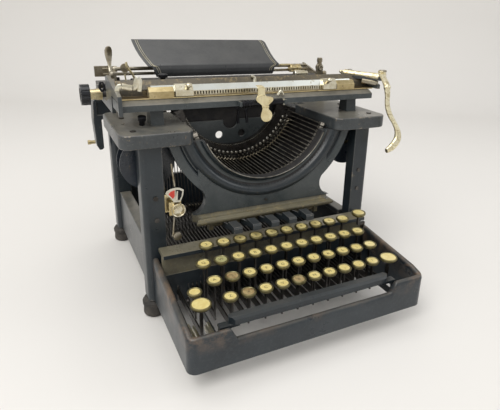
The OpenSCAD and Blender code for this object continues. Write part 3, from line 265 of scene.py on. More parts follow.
def disc_look(name, clean, yellow, brown, brown_at):
    """Paper under celluloid, yellowed in blotches; the lower brown_at is, the more of it is brown."""
    look = Look(name, 0.25)
    base = look.mix(look.ramp(look.noise(190, 5, 0.65), (0.35, 0.0), (0.68, 1.0)), clean, yellow)
    base = look.mix(look.ramp(look.noise(260, 6, 0.7), (brown_at, 0.0), (brown_at + 0.12, 1.0)), base,
                    brown)
    look.colour(base)
    look.bsdf.inputs["Coat Weight"].default_value = 0.6
    look.bsdf.inputs["Coat Roughness"].default_value = 0.12
    look.rough(look.noise(500, 3, 0.6), 0.22, 0.4)
    return look.material


# The fourth colour of each enamel is the colour of its tops: dust with a painted sheen.
BLACK = enamel_look("black enamel", (0.006, 0.010, 0.014), (0.019, 0.026, 0.031), (0.055, 0.056, 0.054))
WORN = enamel_look("worn enamel", (0.018, 0.022, 0.025), (0.060, 0.067, 0.070), (0.20, 0.185, 0.150), 0.05)
SHEET = enamel_look("sheet enamel", (0.022, 0.024, 0.026), (0.042, 0.044, 0.046), (0.080, 0.080, 0.078),
                    -0.02)
APRON = enamel_look("apron enamel", (0.020, 0.027, 0.030), (0.056, 0.065, 0.067), (0.10, 0.10, 0.09), 0.0)
EDGE = enamel_look("rubbed edge", (0.018, 0.022, 0.025), (0.075, 0.080, 0.082), (0.15, 0.145, 0.13), 0.10,
                   (0.24, 0.21, 0.165))
TRAY = tray_look("tray enamel")
OLIVE = enamel_look("olive moulding", (0.052, 0.047, 0.030), (0.125, 0.112, 0.070), (0.15, 0.135, 0.088),
                    0.12, (0.17, 0.14, 0.075))
DUSTY = enamel_look("dusty plate", (0.060, 0.056, 0.040), (0.170, 0.155, 0.105), (0.17, 0.155, 0.11), 0.10,
                    (0.17, 0.14, 0.08))
GUIDE_BROWN = enamel_look("brown guide", (0.030, 0.026, 0.018), (0.080, 0.068, 0.046), (0.17, 0.145, 0.10),
                          0.12, (0.22, 0.17, 0.09))
STRIP_BROWN = metal_look("stained strip", (0.36, 0.27, 0.15), (0.20, 0.14, 0.07), (0.09, 0.055, 0.03), 0.36,
                         40)
CREAM_METAL = metal_look("cream plating", (0.84, 0.82, 0.70), (0.56, 0.49, 0.32), (0.26, 0.19, 0.10), 0.28,
                         55, 0.50)
SCALE_METAL = metal_look("scale plating", (0.92, 0.95, 0.90), (0.80, 0.80, 0.68), (0.50, 0.45, 0.32), 0.3,
                         30, 0.62)
NICKEL = metal_look("tarnished nickel", (0.70, 0.67, 0.57), (0.50, 0.43, 0.27), (0.18, 0.13, 0.07), 0.26)
DULL_NICKEL = metal_look("dull nickel", (0.42, 0.39, 0.32), (0.24, 0.20, 0.13), (0.10, 0.07, 0.04), 0.32)
BRASS = metal_look("old brass", (0.70, 0.62, 0.40), (0.50, 0.39, 0.19), (0.16, 0.10, 0.05), 0.28)
OLD_GILT = metal_look("old gilt", (0.62, 0.52, 0.30), (0.40, 0.31, 0.15), (0.16, 0.10, 0.05), 0.3, 60)
GILT = metal_look("pale gilt", (0.86, 0.77, 0.50), (0.60, 0.49, 0.25), (0.30, 0.21, 0.10), 0.27, 55, 0.55)
STEEL = metal_look("dark steel", (0.13, 0.125, 0.12), (0.055, 0.05, 0.045), (0.11, 0.065, 0.03), 0.38)
BLACK_STEEL = metal_look("blacked steel", (0.035, 0.036, 0.040), (0.018, 0.018, 0.020), (0.05, 0.03, 0.02),
                         0.34)
# Bright steel of the type ends, also used as a painted highlight along the typebars.
BAR_STEEL_AND_HIGHLIGHT = metal_look("typebar steel and highlight", (0.76, 0.72, 0.64), (0.30, 0.275, 0.23), (0.20, 0.12, 0.06), 0.30,
                       120)
COMB = metal_look("tan comb", (0.82, 0.75, 0.60), (0.48, 0.42, 0.31), (0.20, 0.14, 0.07), 0.34, 90)
SLUG = metal_look("type slug", (0.46, 0.45, 0.41), (0.24, 0.22, 0.18), (0.10, 0.07, 0.04), 0.3, 120)
RUBBER = rubber_look("black rubber", (0.022, 0.020, 0.018), (0.075, 0.066, 0.055))
KNOB = rubber_look("hard rubber knob", (0.004, 0.005, 0.007), (0.012, 0.014, 0.018), 0.08)
SPOOL = enamel_look("spool enamel", (0.008, 0.011, 0.016), (0.022, 0.030, 0.042), (0.06, 0.065, 0.07), 0.02)
# Deep black, used as painted shade inside the arch ring and on the sheet outside the typebars.
DEEP_BLACK = rubber_look("deep black", (0.010, 0.010, 0.011), (0.03, 0.026, 0.024))
CREAM = disc_look("key disc", (0.72, 0.62, 0.27), (0.62, 0.49, 0.17), (0.36, 0.25, 0.09), 0.68)
BROWN_DISC = disc_look("aged key disc", (0.42, 0.33, 0.17), (0.30, 0.21, 0.09), (0.16, 0.09, 0.035), 0.50)
OLIVE_DISC = disc_look("greened key disc", (0.42, 0.41, 0.20), (0.34, 0.32, 0.13), (0.20, 0.16, 0.06), 0.62)
RING = metal_look("key ring", (0.30, 0.27, 0.14), (0.17, 0.145, 0.065), (0.08, 0.05, 0.02), 0.42, 160)
INK = rubber_look("printed ink", (0.10, 0.075, 0.035), (0.16, 0.12, 0.06))
RED = rubber_look("red window", (0.52, 0.045, 0.03), (0.62, 0.09, 0.06))
WHITE = rubber_look("white border", (0.60, 0.58, 0.50), (0.42, 0.38, 0.28))


def chased_look():
    """Pale gilt casting with scrolls chased into it, dark in the hollows."""
    look = Look("chased gilt casting", 0.3, 1.0)
    scroll = look.node("ShaderNodeTexWave", wave_type="RINGS", Scale=60.0, Distortion=12.0, Detail=3.0)
    scroll.inputs["Detail Scale"].default_value = 2.2
    look.join(look.where, scroll.inputs["Vector"])
    cut = look.ramp(scroll.outputs["Fac"], (0.12, 0.0), (0.42, 1.0))
    base = look.mix(cut, (0.62, 0.54, 0.33), (0.84, 0.78, 0.57))
    base = look.mix(look.ramp(look.noise(70, 5, 0.7), (0.52, 0.0), (0.72, 1.0)), base, (0.55, 0.44, 0.22))
    look.colour(base)
    look.rough(look.noise(260, 3, 0.6), 0.24, 0.44)
    look.bump(cut, 0.00025, 0.5)
    return look.material


CHASED = chased_look()


# Building ----------------------------------------------------------------

def piece(name, mesh, body, *materials):
    """An object of the visual model that rides on a body."""
    made = bpy.data.objects.new(name, mesh)
    bpy.context.collection.objects.link(made)
    for material in materials:
        mesh.materials.append(material)
    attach(made, body)
    return made


def shade(mesh, degrees=32):
    """Smooth faces, with sharp edges where they meet at more than the angle."""
    work = bmesh.new()
    work.from_mesh(mesh)
    for face in work.faces:
        face.smooth = True
    for edge in work.edges:
        edge.smooth = not (len(edge.link_faces) == 2 and edge.calc_face_angle(0) > math.radians(degrees))
    work.to_mesh(mesh)
    work.free()


def bevel(made, width, segments=2, edge=None, degrees=32):
    """Rounded edges; edge is the place of the material that they wear to."""
    mod = made.modifiers.new("bevel", "BEVEL")
    mod.width, mod.segments, mod.limit_method = width / 1000, segments, "ANGLE"
    mod.angle_limit = math.radians(degrees)
    mod.use_clamp_overlap = True
    mod.harden_normals = True
    if edge is not None:
        mod.material = edge


def paint(mesh, rule):
    """Gives each face the material whose place the rule returns for its centre and normal, in mm."""
    for face in mesh.polygons:
        c = face.center * 1000
        face.material_index = rule(c.x, c.y + HALF_DEPTH, c.z, face.normal)


def dressed(name, width, *materials, segments=2, reshape=None, rule=None):
    """Stands for a CAD node: its own shape with rounded edges, in the second material if there is no rule.

    reshape moves a point, and rule gives the place of a face's material.
    """
    source = nodes[name]
    mesh = source.data.copy()
    mesh.name = name + "_dressed"
    work = bmesh.new()
    work.from_mesh(mesh)
    bmesh.ops.remove_doubles(work, verts=work.verts, dist=2e-6)
    bmesh.ops.dissolve_limit(work, angle_limit=math.radians(0.6), verts=work.verts, edges=work.edges)
    for face in work.faces:
        face.material_index = 0
    if reshape:
        for vert in work.verts:
            vert.co = at(*reshape(vert.co.x * 1000, vert.co.y * 1000 + HALF_DEPTH, vert.co.z * 1000))
    work.to_mesh(mesh)
    work.free()
    mesh.materials.clear()
    shade(mesh)
    if rule:
        paint(mesh, rule)
    body = next(b for b, empty in frame["bodies"].items() if source.parent is empty)
    made = piece(name + "_dressed", mesh, body, *materials)
    if width:
        bevel(made, width, segments, 1 if len(materials) > 1 and not rule else None)
    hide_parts(name)


def coat(name, material):
    """Puts one finish on a CAD node that stays."""
    for slot in nodes[name].material_slots:
        slot.material = material


THIN = 0.01     # keeps the tip of a turned shape open by this much, so that no face is flat


class Shape:
    """Gathers the parts of one piece; slot is the place of the material of the faces made next."""

    def __init__(self):
        self.work = bmesh.new()
        self.slot = 0

    def face(self, verts):
        made = self.work.faces.new(verts)
        made.material_index = self.slot
        made.smooth = True

    def rings(self, rows):
        """Joins rows of points, each a loop, into a skin that is closed at both ends."""
        made = [[self.work.verts.new(p) for p in row] for row in rows]
        n = len(made[0])
        for one, two in zip(made, made[1:]):
            for i in range(n):
                self.face((one[i], one[(i + 1) % n], two[(i + 1) % n], two[i]))
        self.face(list(reversed(made[0])))
        self.face(made[-1])

    def lathe(self, origin, direction, profile, count=32):
        """Turns (radius, height) points round a line."""
        turn = Vector(direction).to_track_quat("Z", "Y").to_matrix()
        rows = []
        for radius, height in profile:
            radius = max(radius, THIN)
            rows.append([Vector(origin) + turn @ Vector((radius * c, radius * s, height))
                         for c, s in circle(count)])
        self.rings(rows)

    def tube(self, points, radii, count=12, steps=5, squash=(1.0, 1.0), side=ACROSS):
        """A round or oval bar along a smooth line; side is the direction of the first width."""
        line, sizes = smooth_line(points, radii, steps)
        rows = []
        for i, point in enumerate(line):
            along = (line[min(i + 1, len(line) - 1)] - line[max(i - 1, 0)]).normalized()
            u = (Vector(side) - along * Vector(side).dot(along)).normalized()
            v = along.cross(u)
            rows.append([point + sizes[i] * (squash[0] * c * u + squash[1] * s * v)
                         for c, s in circle(count)])
        self.rings(rows)

    def slab(self, outline, origin, u, v, thickness):
        """A flat plate: an outline in the plane of u and v, thickened to both sides."""
        u, v = Vector(u).normalized(), Vector(v).normalized()
        n = u.cross(v).normalized() * thickness / 2
        self.rings([[Vector(origin) + u * a + v * b + s * n for a, b in outline] for s in (-1, 1)])

    def block(self, low, high):
        (x0, y0, z0), (x1, y1, z1) = low, high
        self.rings([[(x0, y0, z), (x1, y0, z), (x1, y1, z), (x0, y1, z)] for z in (z0, z1)])

    def ball(self, centre, radii, count=24, rows=12):
        made = []
        for i in range(rows + 1):
            t = math.pi * max(THIN, min(i, rows - THIN)) / rows
            made.append([Vector(centre) + Vector((radii[0] * math.sin(t) * c, radii[1] * math.sin(t) * s,
                                                  -radii[2] * math.cos(t))) for c, s in circle(count)])
        self.rings(made)

    def make(self, name, body, *materials, width=None, shift=0.0, degrees=32, replaces=()):
        """Turns what was gathered into a piece, with bevels of a width and shifted across."""
        mesh = bpy.data.meshes.new(name)
        for vert in self.work.verts:
            vert.co = at(vert.co.x + shift, vert.co.y, vert.co.z)
        bmesh.ops.recalc_face_normals(self.work, faces=self.work.faces)
        self.work.to_mesh(mesh)
        self.work.free()
        shade(mesh, degrees)
        made = piece(name, mesh, body, *materials)
        if width:
            bevel(made, width, degrees=degrees)
        if replaces:
            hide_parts(*replaces)


def smooth_line(points, radii, steps):
    """Points and radii along a Catmull-Rom curve that passes through the given points."""
    points = [Vector(p) for p in points]
    if not hasattr(radii, "__len__"):
        radii = [radii] * len(points)
    line, sizes = [], []
    for i in range(len(points) - 1):
        p0, p1, p2, p3 = (points[max(i - 1, 0)], points[i], points[i + 1],
                          points[min(i + 2, len(points) - 1)])
        for k in range(steps):
            t = k / steps
            line.append(0.5 * (2 * p1 + (p2 - p0) * t + (2 * p0 - 5 * p1 + 4 * p2 - p3) * t * t
                               + (3 * p1 - p0 - 3 * p2 + p3) * t * t * t))
            sizes.append(radii[i] + (radii[i + 1] - radii[i]) * t)
    return line + [points[-1]], sizes + [radii[-1]]


# Frame -------------------------------------------------------------------

def guide_shape(x, y, z):
    """Broadens the cross bar behind the keys and raises it, draws the ledge in and stretches the comb."""
    bar_z, bar_h, front, back = 74, 7, 108.2, 117.2
    raised_z, raised_h, raised_front, raised_back = 83.5, 4.5, 104, 125.4
    foot_z, ledge_z, comb_y = 61, 63.6, 110.7
    if z > bar_z - 0.1:
        if y < front:
            y = raised_front
        elif y > back:
            y = raised_back
        return x, y, raised_z + (z - bar_z) * raised_h / bar_h
    if foot_z - 0.1 < z < ledge_z and y < comb_y:
        return x, comb_y, z
    if z > foot_z:
        return x, y, foot_z + (z - foot_z) * (raised_z - foot_z) / (bar_z - foot_z)
    return x, y, z


def arch_enamel_and_shade(x, y, z, n):
    """Apron enamel on the flat faces behind the moulding, and painted shade in deep black on the faces
    inside the ring that look towards the axis.
    """
    moulding_y, ring_r = 128.5, 90
    if abs(n.y) > 0.95 and y > moulding_y:
        return 1
    # Painted shade: the faces inside the ring that look towards the axis take the deep black.
    return 2 if math.hypot(x, BASKET_Z - z) < ring_r and n.x * x < n.z * (BASKET_Z - z) else 0


def front_bar_finish(x, y, z, n):
    """Stained strip below, brown guide behind, gilt blocks on top with a cream front on the left one."""
    guide_y, strip_z = 168.9, 244
    if y > guide_y:
        return 1
    if z < strip_z:
        return 0
    return 3 if n.z <= 0.4 and x <= 0 and n.y < -0.4 else 2


def typebar_steel_and_highlight(x, y, z, n):
    """Bright steel at the front ends, and the same bright steel as a painted highlight along the edges that
    face the basket's axis.
    """
    front_y = 147
    if y < front_y:
        return 1
    # Painted highlight: faces turned towards the basket's axis take the bright steel.
    return 1 if (n.z * (BASKET_Z - z) - n.x * x) / math.hypot(x, BASKET_Z - z) > 0.85 else 0


for name in ("corner_posts", "rear_frame"):
    dressed(name, 1.1, BLACK, EDGE, segments=3)
dressed("front_arch", 0.7, BLACK, APRON, DEEP_BLACK, rule=arch_enamel_and_shade)
for name in ("side_rails", "top_plates"):
    dressed(name, 1.6, WORN, EDGE, segments=3)
dressed("arch_base_moulding", 0.6, OLIVE, EDGE)
# Faces that look up take the worn enamel, lighter with dust and a painted sheen; the rest take the apron
# enamel.
dressed("carriage_rails", 0.9, APRON, WORN, rule=lambda x, y, z, n: 1 if n.z > 0.5 else 0)
dressed("lever_guides", 0.5, DUSTY, BLACK, reshape=guide_shape,
        rule=lambda x, y, z, n: 1 if y < 105 or z < 60 else 0)
dressed("basket_back_plate", 0.4, APRON)
dressed("space_bar", 1.2, BLACK, segments=3)
dressed("column_keys", 0.5, BLACK, EDGE)
dressed("carriage_end_plates", 0.5, WORN, EDGE)
dressed("carriage_front_bar", 0.5, STRIP_BROWN, GUIDE_BROWN, OLD_GILT, CREAM_METAL,
        reshape=lambda x, y, z: (x, y, 249.6 + (z - 253.4) * 0.9 if y < 166 and z > 250 else z),
        rule=front_bar_finish)
dressed("margin_scale", 0.15, SCALE_METAL, CREAM_METAL,
        reshape=lambda x, y, z: (min(max(x, -120), 128), y, min(z, 255.4)),
        rule=lambda x, y, z, n: 0 if z > 249 else 1)
dressed("platen_knob", 0.5, KNOB, BRASS, rule=lambda x, y, z, n: 1 if x > -170.4 and abs(n.x) < 0.9 else 0)

coat("rubber_feet", RUBBER)
for name in ("type_segment", "connecting_wires", "escapement_bracket", "carriage_rear_bar", "escape_wheel",
             "mainspring_drum", "frame_screws"):
    coat(name, STEEL)
coat("platen_frame", DULL_NICKEL)
for name in ("typebars_resting", "typebar_left", "typebar_right"):
    dressed(name, 0, STEEL, BAR_STEEL_AND_HIGHLIGHT, rule=typebar_steel_and_highlight)
coat("lever_fulcrum", NICKEL)
for name in ("margin_stop_left", "margin_stop_right"):
    dressed(name, 0.5, CREAM_METAL,
            reshape=lambda x, y, z: (x, y, 250 + (z - 250) * 0.72 if z > 250 else z))
for name in ("ribbon_brackets", "bell", "line_ratchet"):
    coat(name, BRASS)
for name in ("ribbon_spool_left", "ribbon_spool_right"):
    coat(name, SPOOL)
coat("platen", RUBBER)


def keyboard_tray():
    """Tray wall with a rounded rim, low in front of the space bar and rising to the back."""
    half, front, back, corner = 136.3, -2.6, 125.5, 9.0
    low_rim, dip, step, rise = 60, 12, 2.5, 13.5
    dip_middle, dip_half, dip_ramp = 0.5, 96.8, 8.6
    sides = [back - i * (back - front - corner) / 12 for i in range(13)]
    turn = [(corner * math.cos(math.radians(a)), corner * math.sin(math.radians(a)))
            for a in range(10, 90, 10)]
    dips = [-97, -96.2, -94.6, -92.6, -90.6, -89, -88]
    xs = [-half + corner, -118, -108] + dips + list(range(-80, 81, 10)) + [1 - x for x in reversed(dips)]
    xs += [108, 118, half - corner]
    path = [(-half, y) for y in sides]
    path += [(-half + corner - c, front + corner - s) for c, s in turn]
    path += [(x, front) for x in xs]
    path += [(half - corner + s, front + corner - c) for c, s in turn]
    path += [(half, y) for y in reversed(sides)]

    def top(x, y):
        """Height of the rim: dipped in front of the space bar, with a step and a slope along the sides."""
        if y < front + 0.1:
            edge = min(max((dip_half - abs(x - dip_middle)) / dip_ramp, 0), 1)
            return low_rim - dip * (3 * edge ** 2 - 2 * edge ** 3)
        t = min(max((y - front - 4) / (back - front - 4), 0), 1)
        return low_rim + step * min(t * 8, 1) + rise * t

    rows = []
    for i, (x, y) in enumerate(path):
        ax, ay = path[max(i - 1, 0)]
        bx, by = path[min(i + 1, len(path) - 1)]
        along = Vector((bx - ax, by - ay, 0)).normalized()
        inward = Vector((-along.y, along.x, 0))
        h = top(x, y)
        section = [(0.0, 22.6), (0.0, 26), (0.0, h - 9), (-0.1, h - 3.2), (0.5, h - 1.1), (1.7, h),
                   (4.4, h), (5.9, h - 0.9), (6.6, h - 2.6), (6.6, h - 5), (5.9, h - 7), (5.9, 26),
                   (5.9, 22.6)]
        rows.append([Vector((x, y, 0)) + inward * d + Vector((0, 0, z)) for d, z in section])
    shape = Shape()
    shape.rings(rows)
    shape.make("keyboard_tray", "frame", TRAY, degrees=50, replaces=("keyboard_surround",))


keyboard_tray()


def front_lever_ends():
    """Bright lever ends at the front left of the tray."""
    shape = Shape()
    for x, y0, y1 in ((-122.5, 22, 44), (-118.6, 20, 40), (-107.4, 18, 36), (-104.2, 20, 40)):
        shape.block((x - 1.2, y0, 38), (x + 1.2, y1, 43.5))
    shape.block((-101.6, 20, 33), (-97.8, 32, 36))
    shape.make("front_lever_ends", "frame", CREAM_METAL, width=0.3)


front_lever_ends()


def basket_details():
    """Arch rim, a deep black sheet of painted shade outside the typebars, screws and combs of the segment,
    rear plate and arm peg.
    """
    rim = Shape()
    rim.tube([in_basket(79.2, a, 126.0) for a in range(-BASKET_HALF, BASKET_HALF + 1, 6)], 0.55, 8, 2)
    rim.make("arch_rim", "frame", SLUG)
    # Painted shade: a deep black sheet round the outside of the typebars, so that the gaps between them
    # look dark.
    shade_sheet = Shape()
    section = [(91, 141), (93, 180), (93, 225), (93.9, 225), (93.9, 180), (91.9, 141)]
    shade_sheet.rings([[in_basket(r, a, y) for r, y in section] for a in range(-79, 80, 6)])
    shade_sheet.make("basket_shade_sheet", "frame", DEEP_BLACK, degrees=40)
    screws, comb = Shape(), Shape()
    screw_count, screw_step = 29, 4.6
    for i in range(screw_count):
        screws.ball(in_basket(75.5, -64.4 + screw_step * i, 221.4), (2.3, 1.6, 2.3), 12, 6)
        screws.ball(in_basket(80.0, -62.1 + screw_step * i, 221.2), (0.9, 1.0, 0.9), 8, 5)
    screws.make("segment_screws", "frame", SLUG)
    tooth_count, tooth_step = 83, 1.6
    for slot, inner, outer, y, thick in ((0, 82.0, 84.4, 218.4, 0.7), (1, 68.0, 69.2, 234.6, 0.4)):
        comb.slot = slot
        comb.tube([in_basket(outer if i % 2 else inner, -BASKET_HALF + tooth_step * i, y)
                   for i in range(tooth_count)], thick, 6, 1)
    comb.make("typebar_comb", "frame", COMB, SLUG)
    plate = Shape()
    plate.slab([(-78, 213), (-78, 186), (-60, 182), (-8, 182), (-4, 170), (60, 170), (78, 186), (78, 213)],
               (0, 247.5, 0), ACROSS, UP, 1.2)
    plate.make("basket_rear_plate", "frame", DEEP_BLACK)
    peg = Shape()
    peg.lathe((-171.4, 340, 154.5), ACROSS, [(0, 0), (2.6, 0.1), (3.1, 0.6), (3.1, 4), (2.5, 4.5),
                                             (2.5, 10), (0, 10.1)], 20)
    peg.make("rear_arm_peg", "frame", OLD_GILT)


basket_details()


# Keys --------------------------------------------------------------------

KEY_PITCH = 19.05
QUARTER = KEY_PITCH / 4         # the rows are staggered by quarters of the pitch
KEY_D, SHIFT_D, LOCK_D, BACK_SPACE_D = 15.6, 20, 14.6, 17.1
ROW_LEFT, ROW_Y, ROW_Z = -96.75, 33.5, 71       # first place of the bottom row
ROW_DEPTH, ROW_RISE = 18.85, 9.9                # from a row to the one behind it
LEGEND_SIZE = 5.4
# Quarters that each row starts to the right, with its legends; then its node, or None for one node per key.
ROWS = [(3, "ZXCVBNM,./"), (1, "ASDFGHJKL;'"), (0, "QWERTYUIOP\u00bd"), (2, "234567890-")]
ROW_NODES = ["bottom_row_keys", None, "upper_row_keys", "number_row_keys"]
# Places of the discs that aged: 1 is brown, 2 is greened.
AGED = {(0, 1): 1, (0, 4): 1, (1, 1): 1, (2, 1): 2}


def letter(text, x, y, z):
    """The legend of a key as a thin flat mesh."""
    curve = bpy.data.curves.new("letter", "FONT")
    curve.body, curve.size, curve.align_x, curve.align_y = text, LEGEND_SIZE, "CENTER", "CENTER"
    curve.extrude, curve.resolution_u = 0.04, 3
    holder = bpy.data.objects.new("letter", curve)
    bpy.context.collection.objects.link(holder)
    mesh = bpy.data.meshes.new_from_object(holder.evaluated_get(bpy.context.evaluated_depsgraph_get()))
    bpy.data.objects.remove(holder)
    bpy.data.curves.remove(curve)
    mesh.transform(Matrix.Translation((x, y, z)))
    return mesh


def key_tops(node, *keys):
    """Rings, discs and legends on one node and its body; keys are (x, y, z, diameter, legend, aged)."""
    coat(node, STEEL)
    rings, discs = Shape(), Shape()
    legends = bmesh.new()
    for x, y, z, d, text, aged in keys:
        r = d / 2
        rings.lathe((x, y, z), UP, [(r - 1.55, -0.35), (r - 1.35, 0.1), (r - 0.9, 0.42), (r - 0.25, 0.2),
                                    (r + 0.1, -0.4), (r + 0.1, -1.5), (r - 0.3, -2.5), (r - 1.2, -3.8),
                                    (r - 2.6, -4.7), (r - 3.0, -4.72)], 40)
        discs.slot = aged
        discs.lathe((x, y, z), UP, [(r - 1.4, -0.5), (r - 1.4, -0.12), (r - 1.8, -0.08), (r * 0.55, -0.2),
                                    (r * 0.25, -0.26), (0, -0.28)], 40)
        if text:
            legends.from_mesh(letter(text, x, y, z - 0.18))
    rings.make(node + "_rings", node, RING)
    discs.make(node + "_discs", node, CREAM, BROWN_DISC, OLIVE_DISC)
    if len(legends.verts):
        for vert in legends.verts:
            vert.co = at(*vert.co)
        mesh = bpy.data.meshes.new(node + "_legends")
        legends.to_mesh(mesh)
        piece(node + "_legends", mesh, node, INK)
    legends.free()


def row_key(row, i):
    offset, letters = ROWS[row]
    return (ROW_LEFT + QUARTER * (offset + 4 * i), ROW_Y + ROW_DEPTH * row, ROW_Z + ROW_RISE * row, KEY_D,
            letters[i], AGED.get((row, i), 0))


for row, node in enumerate(ROW_NODES):
    keys = [row_key(row, i) for i in range(len(ROWS[row][1]))]
    if node:
        key_tops(node, *keys)
    else:
        for i, key in enumerate(keys):
            key_tops("home_key_%d" % (i + 1), key)
key_tops("shift_key_left", (-113.5, 29.8, 73, SHIFT_D, "", 0))
key_tops("shift_key_right", (108.5, 29.8, 73, SHIFT_D, "", 0))
key_tops("shift_lock", (-113.5, 48.65, 75, LOCK_D, "", 0))
key_tops("back_space_key", (104.5, 86.05, 106.2, BACK_SPACE_D, "", 0))


# Carriage ----------------------------------------------------------------

def return_lever():
    """Cast lever that swells at its elbow and ends in a paddle, with scrolls chased into it."""
    shape = Shape()
    points = [(-1, -4, 3), (-8, -13, 1.2), (-16, -27, -2), (-19.6, -35, -6.5), (-19.3, -37.4, -15),
              (-19.3, -38, -19.7), (-19.4, -38.6, -24.4), (-18.5, -39.3, -30.4), (-15.8, -40.2, -37.7),
              (-11.9, -41, -44), (-7.8, -41.7, -49.7), (-3.6, -42.6, -56.7), (-1.4, -43.3, -63.1),
              (-1.5, -44.1, -69.3), (-4.5, -44.8, -74.8), (-11.1, -45.4, -80.2), (-18.4, -45.9, -83.6)]
    radii = [3.8, 3.8, 4.0, 4.4, 3.8, 3.5, 3.5, 3.6, 3.6, 3.4, 3.2, 3.6, 4.6, 5.5, 5.8, 5.4, 3.4]
    base = Vector((164, 148, 258))
    shape.tube([base + Vector(p) for p in points], radii, 20, 6, (1.0, 0.7), (1, 0.2, 0))
    shape.lathe(base, UP, [(5.4, -0.1), (5.7, 0.6), (5.7, 3.6), (5.2, 4.4), (4.6, 4.7), (4.6, 5.0),
                           (5.3, 5.4), (5.3, 7.0), (4.7, 7.6), (0, 7.8)], 32)
    shape.ball(base + Vector((-19.9, -36.2, -7.4)), (4.4, 3.9, 4.4))
    shape.make("return_lever_cast", "return_lever", CHASED, shift=CARRIAGE_X, replaces=("return_lever",))


return_lever()


def return_arm():
    """Cast arm that carries the return lever, with a scroll at its inner end."""
    shape = Shape()
    shape.tube([(139, 186.5, 259.6), (146, 177.5, 259.2), (154, 167, 258.6), (161, 158, 258.0),
                (167, 150, 257.4)], [4.6, 4.2, 4.3, 4.8, 5.2], 16, 5, (1.15, 0.95), (0.8, 0.6, 0))
    shape.lathe((138.6, 187, 255), UP, [(4.4, 0), (4.7, 0.6), (4.7, 6.5), (4.1, 7.4), (2.6, 7.8), (0, 7.9)],
                24)
    shape.ball((135.4, 190.6, 260.5), (2.4, 2.4, 2.2), 16, 8)
    shape.make("return_arm_cast", "carriage", CHASED)
    bar = Shape()
    bar.tube([(150, 163, 251.5), (158, 155, 250.5), (165, 149, 249.5)], 2.4, 10, 3, (1.0, 1.3),
             (0.8, 0.6, 0))
    bar.lathe((169.5, 147.5, 264.2), UP, [(4.6, 0), (5.0, 0.5), (5.0, 1.6), (4.3, 2.2), (0, 2.3)], 24)
    bar.make("return_arm_underbar", "carriage", DULL_NICKEL)


return_arm()


def margin_release():
    """Stamped brass lever on its knurled roller in front of the rail."""
    shape = Shape()
    outline = [(-9.5, 253), (-9.6, 246.5), (-9.9, 243.6), (-11.3, 241.6), (-11.4, 239.2), (-9.8, 237.2),
               (-7.2, 235.4), (-4.8, 233.6), (-3.9, 231), (-3.7, 228.8), (-4.3, 226.6), (-5.4, 223.6),
               (-5.5, 220.6), (-4.4, 217.4), (-2, 215), (1.5, 214.2), (5.0, 215), (7.7, 217.6), (8.8, 221),
               (8.2, 224), (6.4, 226.4), (4.4, 228.4), (3.6, 231), (4.2, 233.4), (6.2, 235.2), (8.8, 237.2),
               (9.5, 239.2), (9.0, 241.4), (6, 242.4), (1.6, 242.9), (-0.5, 244.4), (-0.9, 247),
               (-0.9, 253)]
    shape.slab(outline, (0, 136.4, 0), ACROSS, UP, 1.3)
    shape.tube([(-5.2, 137, 252.6), (-5.2, 140, 253.6), (-5.2, 144, 254)], 1.0, 8, 3, (4.2, 0.7))
    shape.tube([(-4.4, 135.9, 231.2), (0, 135.7, 231.4), (4.2, 135.9, 231.2)], 0.9, 8, 2)
    shape.tube([(-9.6, 135.9, 243.2), (-4, 135.7, 244.2), (-0.6, 135.9, 244)], 0.8, 8, 2)
    shape.slot = 1  # the roller
    shape.lathe((-26.4, 141.6, 235), ACROSS, [(0, 0), (3.4, 0.1), (4.3, 0.8), (4.3, 2.2), (3.6, 2.6),
                                              (3.6, 3.2), (4.3, 3.6), (4.3, 5.4), (3.6, 5.8), (3.6, 6.4),
                                              (4.3, 6.8), (4.3, 8.8), (3.6, 9.2), (3.6, 10.2), (4.2, 10.6),
                                              (4.2, 11.8), (3.2, 12.2), (3.2, 50.4), (2.8, 50.8),
                                              (0, 50.9)], 24)
    shape.make("margin_release_stamped", "margin_release_lever", GILT, BLACK_STEEL, width=0.25,
               replaces=("margin_release_lever",))


margin_release()


def paper_release():
    """Spoon-headed lever on its pivot at the left end of the platen frame."""
    shape = Shape()
    x = -143.2
    shape.tube([(x, 263, 254.3), (x, 266.6, 258.5), (x, 269, 262.5), (x, 270.8, 267), (x, 272.4, 272),
                (x, 272.9, 277), (x, 271.8, 282), (x, 269.6, 285.6), (x, 268.4, 287)],
               [2.2, 1.7, 1.7, 2.3, 3.3, 4.2, 4.3, 3.0, 1.0], 18, 6, (1.0, 0.34))
    shape.lathe((x - 2, 263, 254.3), ACROSS, [(2.7, 0), (4.2, 0.1), (4.5, 0.5), (4.5, 3.5), (4.2, 3.9),
                                              (2.7, 4)], 24)
    shape.make("paper_release_spoon", "paper_release_lever", DULL_NICKEL, replaces=("paper_release_lever",))


